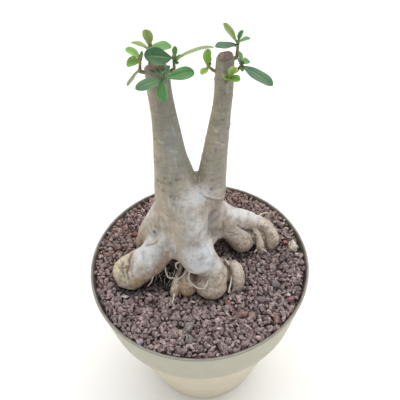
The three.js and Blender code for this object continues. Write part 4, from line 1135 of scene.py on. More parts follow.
# Marks in the bark, in millimetres: a route over the surface, half width, height (under 0 is a groove), and
# how far it is stained; under 0 it is scoured pale. The two wide marks, 8 and 7 mm, are painted light on the
# upright root and on the outer right root's end.
BARK_LINES = (
    ([[3.9, -9.7, 255.5], [7.7, -11.1, 251.1], [14.7, -9.4, 245.8], [19, -6.7, 242.5]], 1.0, 0.6, -0.5),
    ([[3.4, -10.2, 252.5], [7.2, -11.7, 248.6], [14.6, -9.2, 242.8], [19.9, -4.6, 237.8]], 0.9, -0.6, 0.4),
    ([[-52, 9, 185], [-50.7, 7.3, 182.9], [-48.7, 5.7, 181.4], [-45, 3, 183]], 0.9, -0.9, 0.85),
    ([[-44, -8.5, 196], [-41.1, -10, 197.5], [-37.5, -11.5, 200.3], [-33.9, -12.2, 202.5], [-30, -12, 205]],
     0.8, -0.55, 0.6),
    ([[34.5, 7.2, 196], [37.2, 7.6, 192.5], [39.6, 9.1, 189.5], [44, 11.2, 184.8], [47.8, 13, 181]],
     1.0, -1.3, 0.95),
    ([[46.8, 12.5, 181.5], [48.1, 9.3, 177.4], [50, 8.8, 170.8], [50.6, 8.2, 166]], 0.9, -0.9, 0.95),
    ([[52.4, 16.5, 185], [54.2, 16, 181], [56.6, 16, 176], [58.6, 15, 170], [60.6, 11.5, 165]],
     1.0, -1.0, 0.9),
    ([[21.4, 1.8, 207.7], [21.6, 1.9, 201.5], [22.1, 2.7, 194.9], [25.5, 3, 192.4], [32.5, 4.2, 189.1]],
     0.7, -0.6, 0.65),
    ([[23.9, 3.1, 189.3], [29.1, 3.4, 188.1], [34.3, 4.3, 187.9]], 0.7, -0.5, 0.5),
    ([[24, 3, 191], [29, 3.5, 190.2], [34.5, 4.4, 189.6]], 0.8, 0.45, -0.6),
    ([[6.8, -16, 208], [11.5, -4.7, 197.9], [16.4, 0.7, 193.3]], 0.8, -0.45, 0.35),
    ([[7.8, -13, 213], [12.5, -1.4, 201], [17.7, 0.8, 199.9]], 0.8, -0.35, 0.3),
    ([[7.5, -12.6, 246], [7.2, -14, 238], [7.2, -14.4, 228], [8.4, -13.4, 219]], 1.3, -0.5, 0.3),
    ([[-7.6, -16.1, 249.1], [-8.4, -18.4, 242.3], [-7.9, -20.3, 233.7]], 1.1, 0.4, -0.4),
    ([[-10.6, -15.4, 247], [-11.6, -17, 238], [-12, -18.4, 226]], 0.7, 0.25, -0.3),
    ([[-9.5, -31, 188], [-7.5, -32.1, 189.1], [-2.4, -33.6, 189.3], [2.4, -33.5, 189.8], [5.6, -32.3, 192.1]],
     1.3, 0.7, -0.6),
    ([[-8.6, -31.6, 185.6], [-2.6, -34, 186], [3, -33.4, 186.4], [6.6, -32, 188.6]], 0.9, -0.5, 0.5),
    ([[-55.6, -11.7, 189.8], [-57.7, -16.4, 189.3], [-56.6, -21.7, 188.3], [-59.1, -26.4, 185.5],
      [-57.8, -30.2, 181.2]], 1.2, -0.9, 0.95),
    ([[-62.7, -17.9, 187.8], [-62.8, -24.4, 185.8], [-60.5, -29.1, 182.5]], 1.0, -0.6, 0.8),
    ([[-53.8, -19.8, 189.5], [-55.4, -25.3, 186.3], [-54.1, -29.2, 182.1]], 0.9, -0.4, 0.55),
    ([[-56.6, -21.7, 188.3], [-61.1, -23.4, 186.9], [-66, -21.8, 185.3]], 1.0, -0.6, 0.75),
    ([[13.6, -5.6, 303.8], [15.2, -6.6, 302.9], [16.4, -7, 302]], 0.5, 0.1, -0.5),
    ([[15.4, -7.6, 294.3], [17.7, -7.7, 293.4], [20.4, -6.8, 291.7]], 0.5, 0.1, -0.55),
    ([[18, -7.2, 300.4], [19.3, -7.1, 298.3]], 0.5, 0.1, -0.4),
    ([[-21.7, -8.1, 298.2], [-19.2, -9.3, 297.3]], 0.5, 0.1, -0.35),
    ([[-15.2, -10.1, 291.7], [-12.7, -9.6, 289.9], [-10.8, -8.7, 289.5]], 0.5, 0.1, -0.35),
    # Painted light: these lighten the upright root and the outer right root's end, which lie in shade.
    ([[29, -17, 178], [31, -22, 174], [31, -27, 168]], 8, 0, -0.32),
    ([[56, 22, 185], [64, 20, 180], [66, 15, 172]], 7, 0, -0.14),
    ([[-29.7, -20.1, 187], [-33.1, -21.8, 184.9], [-39, -24.7, 181.8]], 0.6, -0.3, 0.3),
)

# Shallow hollows: middle, radii along the axes, depth, and darkening, in millimetres. The darkening is
# painted shade in the hollow under the front foot and in the recess under the right stem.
HOLLOWS = (
    ([-1.4, -33, 179.4], [7.6, 9, 5.6], 1.2, 0.34),
    ([14, -4, 231], [8, 9, 13], 1.0, 0.36),
)

# Scars: place in millimetres, radius, height of the rim round them, and stain.
SCARS = (
    ([-34.3, -6, 208.8], 2.2, 1.0, 0.95),
    ([43.1, 12.7, 191.5], 0.9, 0.5, 0.9),
    ([50.1, 11, 178.3], 1.9, 1.0, 0.9),
    ([21.7, 2.6, 194.4], 1.2, 0.7, 0.8),
    ([-1.2, -33, 177.4], 2.2, 0.7, 0.5),
    ([-24.5, -7.9, 281.1], 1.4, 0.5, 0.8),
    ([-25.9, -7.7, 264.9], 1.5, 0.5, 0.85),
    ([-22.9, -11.1, 258.3], 1.3, 0.5, 0.9),
    ([-20.5, -11.5, 269.7], 1.3, 0.5, 0.7),
    ([-17.3, -12.7, 265.9], 1.4, 0.5, 0.75),
    ([-13, -12.4, 268.1], 1.3, 0.4, 0.7),
    ([-17.6, -13.9, 254.6], 1.4, 0.5, 0.7),
    ([-16.4, -12.2, 287], 1.2, 0.4, 0.6),
    ([-22.6, -7.6, 296], 1.1, 0.4, 0.7),
    ([11.9, -9.4, 263.7], 1.2, 0.4, 0.6),
    ([11.1, -9.8, 255.5], 1.5, 0.5, 0.85),
    ([15, -8.1, 288.6], 1.1, 0.4, 0.5),
    ([23, -5.2, 303.4], 1.2, 0.4, 0.75),
    ([19.6, -6.5, 310.4], 1.0, 0.4, 0.6),
    ([24, -3.5, 293.6], 1.0, 0.4, 0.5),
    ([-48.5, -1.5, 192], 1.4, 0.6, 0.5),
)


# Painted highlights on the front, drawn as patches of the chalky coat: the middle and the radii along X and
# Z, the Y that they lie in front of, and strength: the crotch, the front root's top and the ridge between
# them.
PAINTED_HIGHLIGHT_PATCHES = (
    ((1, 251), (12, 7), 0, 1.0),
    ((1, 200), (12, 13), -12, 1.5),
    ((-1, 226), (8, 18), -8, 0.6),
)


def line_distance(points, route):
    """Distance from each point to a route of straight links."""
    best = np.full(len(points), np.inf)
    for a, b in zip(route[:-1], route[1:]):
        link = b - a
        rest = points - a
        share = np.clip(rest @ link / (link @ link), 0, 1)
        best = np.minimum(best, np.linalg.norm(rest - share[:, None] * link, axis=1))
    return best


LEAF_TURN = math.radians(137.5)  # from each leaf to the next, round the stem
SCARS_FROM, SCARS_TO = 234 * MM, 340 * MM  # the small leaf scars lie between these heights


def leaf_scars(rng):
    """Places of small leaf scars: points on a spiral round each stem, the same turn apart as the leaves were,
    with a random step up; each is [x, y, z], radius and height."""
    rows = []
    for limb in LIMB_SHAPES[:2]:
        level = limb.stations[:, 2]
        stations = limb.stations[(level > SCARS_FROM - 2 * MM) & (level < SCARS_TO + 3 * MM)]
        order = np.argsort(stations[:, 2])
        heights = np.cumsum(rng.uniform(1.6 * MM, 3.4 * MM, 60)) + SCARS_FROM
        heights = heights[heights < SCARS_TO]
        x, y, r = (np.interp(heights, stations[order, 2], stations[order, n]) for n in (0, 1, 3))
        turn = LEAF_TURN * np.arange(len(heights)) + rng.uniform(-0.5, 0.5, len(heights))
        place = np.stack([x + r * np.cos(turn), y + r * np.sin(turn), heights], -1)
        size = rng.uniform(0.7, 1.15, len(heights)) * MM
        rows += list(zip(place, size, rng.uniform(0.16, 0.4, len(heights)) * MM))
    return rows


def stronger(stains_and_painted_light, mark):
    """The marks so far, with a new mark wherever it is the stronger of the two."""
    return np.where(np.abs(mark) > np.abs(stains_and_painted_light), mark, stains_and_painted_light)


def bark_relief(points, outward, along, kinds):
    """Height of the bark over the smooth trunk, and its marks. It sums slow swells, rings across the stems,
    finer wrinkles on the roots, lines (h·exp(-(d/w)²) at a distance d from their route), hollows
    (-h·exp(-q^1.6), with q the place over the radii, squared and added up) and round scars (a rim
    h·exp(-((d-r)/w)²) round a sunken middle). The marks' colours hold real staining, painted shade in the
    hollows and painted light along two wide lines."""
    stem, root, bulb = (kinds[label] for label in ("stem", "root", "bulb"))
    stem = stem * smooth_step(*STEM_BARK, points[:, 2])
    height = 0.55 * MM * noise(points, 17 * MM, 1) * (1 - 0.5 * stem)
    height += 0.28 * MM * noise(points, 8 * MM, 2) * (1 - 0.6 * stem)
    drawn_out = 6  # rings are this much longer than wide
    ring_place = points / [drawn_out, drawn_out, 1]
    ring_place[:, 2] += 0.6 * MM * noise(points, 14 * MM, 7)
    rings = noise(ring_place, 1.5 * MM, 4) + 0.6 * noise(ring_place, 1.0 * MM, 5)
    height += 0.03 * MM * rings * (0.4 + 0.6 * stem) * (1 - bulb)
    across = np.stack([along, *(outward.T * 9 * MM)[:2]], -1)
    height += 0.16 * MM * noise(across, 2.3 * MM, 8) * np.maximum(bulb, 0.6 * root)
    knobs = np.maximum(bulb, root * smooth_step(-40 * MM, -58 * MM, points[:, 0]))
    height += (0.45 * MM * noise(points, 6.5 * MM, 11) + 0.3 * MM * noise(points, 3.2 * MM, 9)) * knobs
    marks = np.zeros(len(points))
    stains_and_painted_light = np.zeros(len(points))
    wander = 0.35 * MM * noise(points, 2.5 * MM, 10)
    for route, width, rise, stain_and_painted_light in BARK_LINES:
        near = line_distance(points, np.array(route) * MM) + wander
        marks += rise * MM * np.exp(-((near / (width * MM)) ** 2))
        stains_and_painted_light = stronger(stains_and_painted_light, stain_and_painted_light * np.exp(-((near / (0.8 * width * MM)) ** 2)))
    ragged = 0.3 * noise(points, 4 * MM, 14) + 0.2 * noise(points, 2 * MM, 16)
    for place, radii, depth, stain_and_painted_light in HOLLOWS:
        q = (((points - np.array(place) * MM) / (np.array(radii) * MM)) ** 2).sum(axis=1)
        shape = np.exp(-(np.maximum(q + ragged, 0) ** 1.6))
        marks -= depth * MM * shape
        stains_and_painted_light = stronger(stains_and_painted_light, stain_and_painted_light * shape * (0.8 + 0.8 * ragged))
    rng = np.random.default_rng(SEED + 1)
    spots = [(np.array(place) * MM, radius * MM, rise * MM, stain_and_painted_light) for place, radius, rise, stain_and_painted_light in SCARS]
    spots += [(place, radius, rise, 0.55) for place, radius, rise in leaf_scars(rng)]
    for place, radius, rise, stain_and_painted_light in spots:
        close = np.abs(points - place).max(axis=1) < 3 * radius
        d = np.linalg.norm(points[close] - place, axis=1)
        marks[close] += rise * np.exp(-(((d - radius) / (0.45 * radius)) ** 2))
        marks[close] -= 0.5 * rise * np.exp(-((d / (0.6 * radius)) ** 2))
        stains_and_painted_light[close] = stronger(stains_and_painted_light[close], stain_and_painted_light * np.exp(-((d / (0.75 * radius)) ** 2)))
    return height + marks, stains_and_painted_light, np.clip(-rings, 0, 1) * (0.1 + 0.9 * stem)


def bark_values(points, normals):
    """The bark's point attributes: kinds of bark, folds, scars, rings and the chalky coat. The folds are
    darkened as soil and painted shade, the chalky coat is partly painted light and has patches of painted
    highlight, and the sides facing left get a warm painted light. The marks are looked up on the smooth trunk
    under each point."""
    total, outward, along, fold, kinds = trunk_distance(points)
    _, stains_and_painted_light, ring_shade = bark_relief(points - total[:, None] * outward, outward, along, kinds)
    # How hemmed in the surface is: the fold mark, which the bark darkens as soil and painted shade.
    ahead = 4 * MM
    free = trunk_distance(points + ahead * normals)[0] / ahead
    tight = smooth_step(0.86, 0.3, free)
    x, y, z = points.T
    high = smooth_step(*STEM_BARK, z)
    wander = 5 * MM * noise(points, 9 * MM, 12) + 3 * MM * noise(points, 3.5 * MM, 13)
    ragged = 0.5 + 0.35 * noise(points, 6 * MM, 17) + 0.25 * noise(points, 2.6 * MM, 18)
    tip = smooth_step(-40 * MM, -60 * MM, x + 1.6 * wander + 0.6 * (z - 182 * MM)) * kinds["root"]
    under = smooth_step(0.5, -0.05, normals[:, 2] + 0.7 * (ragged - 0.5)) * smooth_step(210 * MM, 196 * MM, z)
    under = under * np.maximum(kinds["root"], 0.3) * smooth_step(-14 * MM, -26 * MM, x + wander)
    low = smooth_step(180 * MM, 168 * MM, z + wander) * np.maximum(kinds["root"], 0.35)
    ochre = np.clip(kinds["bulb"] * smooth_step(194 * MM, 184 * MM, z + wander) + tip + under + low, 0, 1)
    # The chalky coat on what faces up is partly painted light; the patches are painted highlights.
    bloom_and_painted_light = 0.7 * smooth_step(0.15, 0.8, normals[:, 2] + 0.3 * (ragged - 0.5)) * (1 - high)
    for middle, radii, front, strength in PAINTED_HIGHLIGHT_PATCHES:
        bloom_and_painted_light = np.maximum(bloom_and_painted_light, strength * mound(x, z, middle, radii) * (y < front * MM))
    bloom_and_painted_light = bloom_and_painted_light * (1 - ochre) * (0.35 + 1.2 * ragged)
    # Sides facing left: a warm painted light.
    painted_warm_left_light = smooth_step(-0.2, -0.85, normals[:, 0] + 0.25 * noise(points, 12 * MM, 15)) * (z > 185 * MM)
    return {
        "stem": kinds["stem"] * high,
        "root": kinds["root"],
        "bulb": ochre,
        "fold": np.clip(0.75 * tight + 0.6 * fold * tight, 0, 1) * smooth_step(262 * MM, 236 * MM, z),
        "scar_stain_and_painted_shade": np.clip(stains_and_painted_light, 0, 1),
        "pale": np.clip(-stains_and_painted_light, 0, 1),
        "ring_shade": ring_shade,
        "painted_warm_left_light": painted_warm_left_light * (1 - 0.5 * kinds["root"]),
        "bloom_and_painted_light": np.clip(bloom_and_painted_light, 0, 1),
    }


ROUGH_MESH = 1.8 * MM  # edge length of the first remesh
CUT_RECESS = 1.5 * MM  # the trunk's own mesh ends this far under each cut top


def build_trunk(trunk):
    """The trunk: each limb's tube, joined by a voxel remesh, drawn onto the smooth trunk, remeshed evenly,
    drawn onto it again, and raised by the bark's relief."""
    tubes = []
    for limb in LIMB_SHAPES:
        stations = limb.stations
        if limb.cut is not None:
            stations = stations[stations[:, 2] < limb.cut[0][2] + 3 * MM]
        tubes.append(tube(stations[:, :3], stations[:, 3] + 0.3 * MM, 40, round_ends=True))
    rough = new_mesh("limbs", *joined(tubes))
    for size, level in ((ROUGH_MESH, 0.3 * MM), (trunk.mesh_size, 0.0)):
        remesh = ("REMESH", {"mode": "VOXEL", "voxel_size": size, "use_smooth_shade": True})
        rough = with_modifiers(rough, remesh)
        quads = mesh_quads(rough)
        points = onto_trunk(mesh_points(rough), level, CUT_RECESS)
        rough = new_mesh("limbs", points, [quads])
    _, outward, along, _, kinds = trunk_distance(points)
    points = points + bark_relief(points, outward, along, kinds)[0][:, None] * outward
    values = bark_values(points, face_normals(points, quads))
    values["cut"] = np.zeros(len(points))
    bark = living_bark(trunk)
    new_piece("trunk", new_mesh("trunk", points, [quads], values=values), [bark], "caudex")
    for name, limb in zip(("cut_top_left", "cut_top_right"), LIMB_SHAPES):
        build_cut_top(name, limb, bark)


# The section of a cut top, in millimetres: radius over the stem's, and height over the cut.
CUT_SECTION = (
    [-0.5, -8], [0.05, -5.5], [0.2, -3.5], [0.32, -1.4], [0.34, -0.6], [0.28, -0.2], [0.14, 0],
    [-0.05, -0.05], [-0.2, -0.25], [-0.4, -0.4],
)
CUT_RINGS = 1.05 * MM  # spacing of the rings in the wood
CUT_CRACKS = (2.2, 0.07), (4.9, 0.05)  # direction and width of each drying crack, in radians


def build_cut_top(name, limb, bark):
    """The end of a pruned stem: its section (radius, height) comes out of the bark, turns over a healed rim
    and sinks to a dry, ringed face; it is turned about the cut's normal with a slow change of radius."""
    place, slope = limb.cut
    axis = unit(slope)
    radius = -float(limb.distance(place[None] - 4 * MM * axis)[0][0])
    sides = 96
    key = np.column_stack([np.array(CUT_SECTION) * MM, np.zeros(len(CUT_SECTION))])
    wall = smooth_path(key, 0.35 * MM)[:, :2]
    wall[:, 0] += radius
    inner = np.linspace(wall[-1, 0], 0.25 * MM, 26)[1:]
    ripple = 0.1 * MM * np.sin(2 * np.pi * inner / CUT_RINGS) - 0.35 * MM * (1 - (inner / radius) ** 2)
    outline = np.concatenate([wall, np.stack([inner, wall[-1, 1] + ripple], -1)])
    angle = 2 * np.pi * np.arange(sides) / sides
    swell = 1 + 0.025 * np.sin(2 * angle + 0.6) + 0.015 * np.sin(5 * angle + 2)
    r = outline[:, :1] * swell[None, :]
    tilt = (0.25 * np.sin(angle + 1.1) + 0.18 * np.sin(3 * angle)) * MM
    face = smooth_step(-3 * MM, 0, outline[:, 1:])
    z = outline[:, 1:] + tilt[None, :] * face
    side = unit(np.cross([0, 1.0, 0], axis))
    other = np.cross(axis, side)
    points = place + (r * np.cos(angle))[..., None] * side + (r * np.sin(angle))[..., None] * other
    points = (points + z[..., None] * axis).reshape(-1, 3)
    cracks = sum(np.exp(-(((angle - turn) / width) ** 2)) for turn, width in CUT_CRACKS)
    cracks = np.tile(cracks, len(outline))
    on_face = np.repeat(smooth_step(0.1 * MM, -0.25 * MM, outline[:, 0] - radius), sides)
    on_face = on_face * (np.arange(len(on_face)) // sides > 6)
    points = points - (0.35 * MM * cracks * on_face)[:, None] * axis
    points = points + (0.22 * MM * noise(points, 1.3 * MM, 21) * on_face)[:, None] * axis
    ends = points[:sides].mean(axis=0), points[-sides:].mean(axis=0)
    points, faces = closed(points.reshape(-1, sides, 3), *ends)
    values = bark_values(points, unit(points - place))
    values["cut"] = np.clip(np.append(on_face + 0.25 * np.repeat(face[:, 0], sides), [0, 1]), 0, 1)
    values["fold"] = 0.4 * np.append(cracks * on_face, [0, 0])
    new_piece(name, new_mesh(name, points, faces, values=values), [bark], "caudex")


# ---------------------------------------------------------------- thin roots

# Tufts of fine dry fibres: middle in millimetres, spread, how many, length, heading and dip in degrees.
TUFTS = (
    ([22, -7, 170], 5, 16, 11, 255, 30),
    ([17, 12, 164.5], 4, 7, 14, 330, 8),
    ([-24, -22, 171], 8, 12, 9, 250, 60),
    ([-10, -27, 178], 4, 6, 7, 250, 55),
    ([57, 6, 165], 3.5, 9, 6, 270, 25),
    ([63, 33, 178], 5, 7, 10, 35, 25),
    ([1.5, -4, 255], 2, 7, 9, 270, -65),
    ([-36, -19, 172], 6, 7, 7, 250, 55),
    ([30, -30, 165], 5, 8, 7, 280, 25),
    ([38, 8, 164.5], 6, 8, 9, 300, 10),
    ([-24, -40, 164], 3, 5, 7, 250, 10),
)


FIBRE_FLOOR = 162.6  # no fibre that hangs goes deeper into the bed than this height, in millimetres


def build_thin_roots(trunk):
    """The thin roots: tubes along smooth routes, R(u) = R(1 - 0.35u), that wander by a slow noise; and tufts
    of fine fibres, each a curve C(t) = a + t·v + t²·w with random v and w."""
    rng = np.random.default_rng(SEED + 2)
    parts, pales = [], []
    for radius, pale, route in THIN_ROOTS:
        centres = smooth_path(route, 1.0) * MM
        share = np.linspace(0, 1, len(centres))
        wander = np.stack([noise(centres + n, 4 * MM, 30 + n) for n in range(3)], -1)
        centres = centres + 0.35 * MM * wander
        radii = radius * MM * (1 - 0.35 * share) * (1 + 0.12 * noise(centres, 2 * MM, 33))
        parts.append(tube(centres, radii, 10))
        pales.append(np.full(len(parts[-1][0]), pale))
    for middle, spread, count, reach, heading, dip in TUFTS:
        for _ in range(count):
            start = np.array(middle) + rng.normal(0, spread / 2, 3) * [1, 1, 0.4]
            v = heading_vector(heading + rng.normal(0, 38), -dip - rng.normal(0, 16))
            v = v * reach * rng.uniform(0.6, 1.2)
            w = rng.normal(0, 0.28, 3) * reach
            t = np.linspace(0, 1, 12)[:, None]
            centres = start + t * v + t * t * w
            if dip > 0:
                centres[:, 2] = np.maximum(centres[:, 2], FIBRE_FLOOR + 0.8 * rng.uniform())
            radii = rng.uniform(0.16, 0.34) * (1 - 0.5 * t[:, 0])
            parts.append(tube(centres * MM, radii * MM, 5))
            pales.append(np.full(len(parts[-1][0]), rng.uniform(0, 0.8)))
    mesh = new_mesh("thin_roots", *joined(parts), values={"pale": np.concatenate(pales)})
    new_piece("thin_roots", mesh, [dry_root(trunk)], "caudex")


# ---------------------------------------------------------------- the shoots


# The buds at each shoot's knot, in millimetres and degrees: where they start, their length and their pitch.
BUD_OFFSETS = ([0.5, 0, 0.3], [-0.4, 0.4, 0.5], [0, -0.5, 0.2])
BUD_LENGTH = 2.3
BUD_PITCH = 62
# A leaf that starts nearer to the knot than this grows from it, and any other from the elbow.
KNOT_REACH = 4.5


def heading_vector(heading, pitch):
    """The direction (cos p cos h, cos p sin h, sin p) of a heading h and a pitch p in degrees."""
    heading, pitch = np.radians([heading, pitch])
    return np.array([np.cos(pitch) * np.cos(heading), np.cos(pitch) * np.sin(heading), np.sin(pitch)])


def blade(rng, thickness, leaf, rows=22, sides=28):
    """A leaf as a closed tube of flat section: at the share s of its length its middle lies on an arc, its
    half width is W/2·sin(πs^1.4)^0.56, and the section's angle v gives the place across a = cos v and the
    height T/2·|sin v|^0.7, with a fold up to both sides, a groove over the midrib and a rib under it."""
    x, y, z, reach, width, *angles = leaf
    heading, _, roll, bend = np.radians(angles)
    along = heading_vector(*angles[:2])
    flat = np.array([-np.sin(heading), np.cos(heading), 0])
    side = flat * np.cos(roll) + np.cross(along, flat) * np.sin(roll)
    up = np.cross(along, side)
    s = (1 - np.cos(np.pi * np.linspace(0.02, 1, rows))) / 2
    s[-1] = 0.997
    v = 2 * np.pi * np.arange(sides) / sides
    half = width / 2 * np.sin(np.pi * s**1.4) ** 0.56
    stalk = 0.62 * (1 - smooth_step(0, 0.35, s))
    half = np.maximum(half, stalk)
    a = np.cos(v)[None, :]
    thick = (thickness / MM / 2) * (1 + 1.2 * smooth_step(0.3, 0, s))[:, None]
    rim = np.clip((1 - s) / 0.08, 0.25, 1)[:, None]
    offset = thick * rim * np.sign(np.sin(v)) * np.abs(np.sin(v)) ** 0.7
    rib = np.exp(-((a * half[:, None] / 0.55) ** 2)) * ((1 - s) ** 0.6 * smooth_step(0, 0.1, s))[:, None]
    offset = offset - np.where(np.sin(v) > 0, 0.22, 0.42) * rib
    wave = 0.05 * width * np.sin(9 * s[:, None] + 2.5 * np.sign(a) + rng.uniform(0, 6)) * np.abs(a) ** 3
    cup = (0.16 + rng.uniform(-0.04, 0.06)) * half[:, None] * np.abs(a) ** 1.5
    angle = bend / 2 - bend * s
    run = reach * (np.sin(bend / 2) - np.sin(angle)) / bend
    rise = reach * (np.cos(angle) - np.cos(bend / 2)) / bend
    drift = 0.06 * width * np.sin(np.pi * s) * rng.normal()
    lift = (rise[:, None] + (offset + cup + wave * (half / (width / 2))[:, None]) * np.cos(angle)[:, None])
    forward = run[:, None] - (offset + cup) * np.sin(angle)[:, None]
    points = (
        np.array([x, y, z])
        + forward[..., None] * along
        + lift[..., None] * up
        + (half[:, None] * a + drift[:, None])[..., None] * side
    )
    uv = np.stack(np.broadcast_arrays(s[:, None], 0.5 + a / 2), -1).reshape(-1, 2)
    points, faces = closed(points, points[0].mean(axis=0) - 0.3 * along, points[-1].mean(axis=0))
    return points * MM, faces, np.concatenate([uv, [[0, 0.5], [1, 0.5]]])


def faces_out(points, faces):
    """The faces, all turned round if the closed surface's volume, the sum of a·(b×c)/6, is under 0."""
    volume = 0.0
    for several in faces:
        for n in range(1, several.shape[1] - 1):
            a, b, c = points[several[:, 0]], points[several[:, n]], points[several[:, n + 1]]
            volume += np.einsum("ij,ij->", a, np.cross(b, c))
    return faces if volume > 0 else [several[:, ::-1] for several in faces]


def build_shoot(index, shoots, finishes):
    """One shoot: a twig from inside the stem to its knot, leaf scars and buds on it, and a stalk and a blade
    for each leaf."""
    rng = np.random.default_rng(SEED + 100 + index)
    name, foot, elbow, knot, leaves = SHOOTS[index]
    foot, elbow, knot = np.array(foot), np.array(elbow), np.array(knot)
    straight = foot + 0.75 * (elbow - foot)
    route = smooth_path([foot, straight, elbow, knot], 0.4)
    share = np.linspace(0, 1, len(route))
    radii = shoots.twig_radius / MM * (1 - 0.12 * share) * (1 + 0.1 * np.exp(-(((share - 0.62) / 0.05) ** 2)))
    radii = radii + 0.25 * np.exp(-(((share - 0.4) / 0.08) ** 2))
    woody = [tube(route * MM, radii * MM, 16)]
    t = np.linspace(0, 1, 9)[:, None]
    profile = 0.7 * np.sin(np.pi * (0.15 + 0.8 * t[:, 0])) ** 0.8 + 0.05
    for offset, heading in zip(BUD_OFFSETS, rng.uniform(0, 360, 5)):
        bud = knot + offset
        woody.append(tube((bud + BUD_LENGTH * t * heading_vector(heading, BUD_PITCH)) * MM, profile * MM, 10))
    t = np.linspace(0, 1, 7)[:, None]
    for _, leaf in leaves:
        start = knot if np.linalg.norm(knot - leaf[:3]) < KNOT_REACH else elbow
        reach = np.array(leaf[:3]) + 0.2 * unit(np.array(leaf[:3]) - start)
        woody.append(tube((start + t * (reach - start)) * MM, (0.75 - 0.2 * t[:, 0]) * MM, 10))
    twig_points, twig_faces = joined(woody)
    blades, tints, uvs = [], [], []
    for label, leaf in leaves:
        points, faces, uv = blade(rng, shoots.blade_thickness, leaf)
        blades.append((points, faces_out(points, faces)))
        tint = np.array(linear(LEAF_COLOURS[label]))
        tint[:3] *= math.exp(rng.normal(0, 0.06))
        tints.append(np.tile(tint, (len(points), 1)))
        uvs.append(uv)
    leaf_points, leaf_faces = joined(blades)
    points, faces = joined([(leaf_points, leaf_faces), (twig_points, twig_faces)])
    none = len(twig_points)
    colours = {"leaf_colour": np.concatenate([*tints, np.ones((none, 4))])}
    mesh = new_mesh(name, points, faces, colours=colours, uv=np.concatenate([*uvs, np.zeros((none, 2))]))
    new_piece(name + "_fine", mesh, finishes, name)
    leafy = sum(len(several) for several in leaf_faces)
    mesh.polygons.foreach_set("material_index", (np.arange(len(mesh.polygons)) >= leafy).astype(np.int32))


# ---------------------------------------------------------------- the stage

CAMERA_PLACE = (0.0, -0.2212, 0.4483)
CAMERA_HEADING = math.radians(-0.78)
CAMERA_DOWN = math.radians(43.84)
CAMERA_ROLL = math.radians(-2.608)


# Soft panels far off: name, direction, how wide each looks from the plant in degrees, and strength.
PANELS = (
    ("sky panel", (0.15, 0.35, 1.0), 70, 2.35),
    ("left panel", (-1.0, 0.3, 0.35), 60, 0.7),
    ("right panel", (1.0, 0.3, 0.3), 60, 0.6),
    ("front fill", (0.3, -0.9, 0.35), 60, 0.35),
)


def soft_light(name, toward, width, strength):
    """Even light from far off in one direction, as wide as a big soft panel seen from the plant."""
    data = bpy.data.lights.new(name, "SUN")
    data.angle = math.radians(width)
    data.energy = strength
    lamp = linked(name, data)
    lamp.location = toward
    lamp.rotation_euler = Vector(toward).to_track_quat("Z", "Y").to_euler()


def build_stage(stage):
    """A pale floor under the pot, soft boxes all round, and the camera."""
    half = stage.floor_size / 2
    corners = np.array([[-half, -half, 0], [half, -half, 0], [half, half, 0], [-half, half, 0]])
    mesh = new_mesh("floor", corners, [np.array([[0, 1, 2, 3]])])
    mesh.materials.append(pale_floor(stage))
    linked("floor", mesh)

    world = bpy.data.worlds.new("studio")
    bpy.context.scene.world = world
    world.use_nodes = True
    background = world.node_tree.nodes["Background"]
    background.inputs["Color"].default_value = linear("#FBFBFF")
    background.inputs["Strength"].default_value = 0.5
    for panel in PANELS:
        soft_light(*panel)

    forward = Vector((math.sin(-CAMERA_HEADING) * math.cos(CAMERA_DOWN),
                      math.cos(CAMERA_HEADING) * math.cos(CAMERA_DOWN), -math.sin(CAMERA_DOWN)))
    level_right = forward.cross(Vector((0, 0, 1))).normalized()
    level_up = level_right.cross(forward)
    right = math.cos(CAMERA_ROLL) * level_right + math.sin(CAMERA_ROLL) * level_up
    up = -math.sin(CAMERA_ROLL) * level_right + math.cos(CAMERA_ROLL) * level_up
    data = bpy.data.cameras.new("camera")
    data.sensor_width = 36
    data.lens = stage.lens
    data.clip_start = 0.01
    camera = linked("camera", data)
    turned = Matrix((right, up, -forward)).transposed().to_4x4()
    camera.matrix_world = Matrix.Translation(CAMERA_PLACE) @ turned
    bpy.context.scene.camera = camera
    bpy.context.scene.view_settings.view_transform = "Standard"


# ---------------------------------------------------------------- operators, panel and registration


class DESERTROSE_OT_pot(Operator):
    """Turn the nursery pot and drill its floor"""

    bl_idname = "desert_rose.pot"
    bl_label = "Pot"

    def execute(self, context):
        build_pot(context.scene.desert_rose.pot)
        return {"FINISHED"}


class DESERTROSE_OT_grit(Operator):
    """Fill the pot with crushed lava stone"""

    bl_idname = "desert_rose.grit"
    bl_label = "Grit"

    def execute(self, context):
        settings = context.scene.desert_rose
        build_grit(settings.pot, settings.grit)
        return {"FINISHED"}


class DESERTROSE_OT_trunk(Operator):
    """Grow the trunk, its stems and its fat roots"""

    bl_idname = "desert_rose.trunk"
    bl_label = "Trunk"

    def execute(self, context):
        build_trunk(context.scene.desert_rose.trunk)
        return {"FINISHED"}


class DESERTROSE_OT_thin_roots(Operator):
    """Add the thin roots and fibres"""

    bl_idname = "desert_rose.thin_roots"
    bl_label = "Thin roots"

    def execute(self, context):
        build_thin_roots(context.scene.desert_rose.trunk)
        return {"FINISHED"}


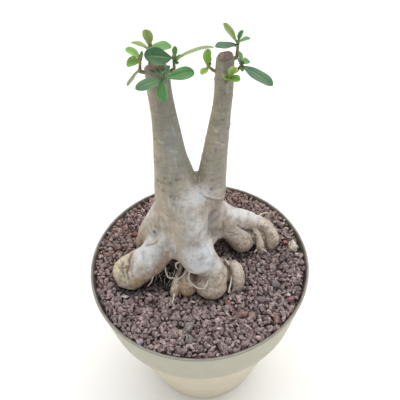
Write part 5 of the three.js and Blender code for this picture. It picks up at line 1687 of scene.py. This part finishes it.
class DESERTROSE_OT_shoots(Operator):
    """Put the leafy shoots on the stem tops"""

    bl_idname = "desert_rose.shoots"
    bl_label = "Shoots"

    def execute(self, context):
        shoots = context.scene.desert_rose.shoots
        finishes = waxy_leaf(), young_twig(shoots)
        for index in range(len(SHOOTS)):
            build_shoot(index, shoots, finishes)
        return {"FINISHED"}


class DESERTROSE_OT_stage(Operator):
    """Lay the floor and set the lights and the camera"""

    bl_idname = "desert_rose.stage"
    bl_label = "Stage"

    def execute(self, context):
        build_stage(context.scene.desert_rose.stage)
        return {"FINISHED"}


class DESERTROSE_PT_panel(Panel):
    """The desert rose's settings and steps"""

    bl_idname = "DESERTROSE_PT_panel"
    bl_label = "Potted Desert Rose"
    bl_space_type = "VIEW_3D"
    bl_region_type = "UI"
    bl_category = "Desert Rose"

    def draw(self, context):
        settings = context.scene.desert_rose
        groups = (("pot", ("pot",)), ("grit", ("grit",)), ("trunk", ("trunk", "thin_roots")),
                  ("shoots", ("shoots",)), ("stage", ("stage",)))
        for label, steps in groups:
            box = self.layout.box()
            group = getattr(settings, label)
            for field in group.__annotations__:
                box.prop(group, field)
            for step in steps:
                box.operator("desert_rose." + step)


CLASSES = (
    PotSettings, GritSettings, TrunkSettings, ShootSettings, StageSettings, DesertRoseSettings,
    DESERTROSE_OT_pot, DESERTROSE_OT_grit, DESERTROSE_OT_trunk, DESERTROSE_OT_thin_roots,
    DESERTROSE_OT_shoots, DESERTROSE_OT_stage, DESERTROSE_PT_panel,
)


def register():
    """Makes the classes known and gives the scene its settings."""
    for cls in CLASSES:
        bpy.utils.register_class(cls)
    bpy.types.Scene.desert_rose = PointerProperty(
        type=DesertRoseSettings, name="Desert rose", description="Settings of the potted desert rose"
    )


def unregister():
    """Takes the settings and the classes away again."""
    del bpy.types.Scene.desert_rose
    for cls in reversed(CLASSES):
        bpy.utils.unregister_class(cls)


def main():
    """Builds everything, step by step."""
    register()
    bpy.ops.desert_rose.stage()
    bpy.ops.desert_rose.pot()
    bpy.ops.desert_rose.grit()
    bpy.ops.desert_rose.trunk()
    bpy.ops.desert_rose.thin_roots()
    bpy.ops.desert_rose.shoots()
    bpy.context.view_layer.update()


if __name__ == "__main__":
    main()
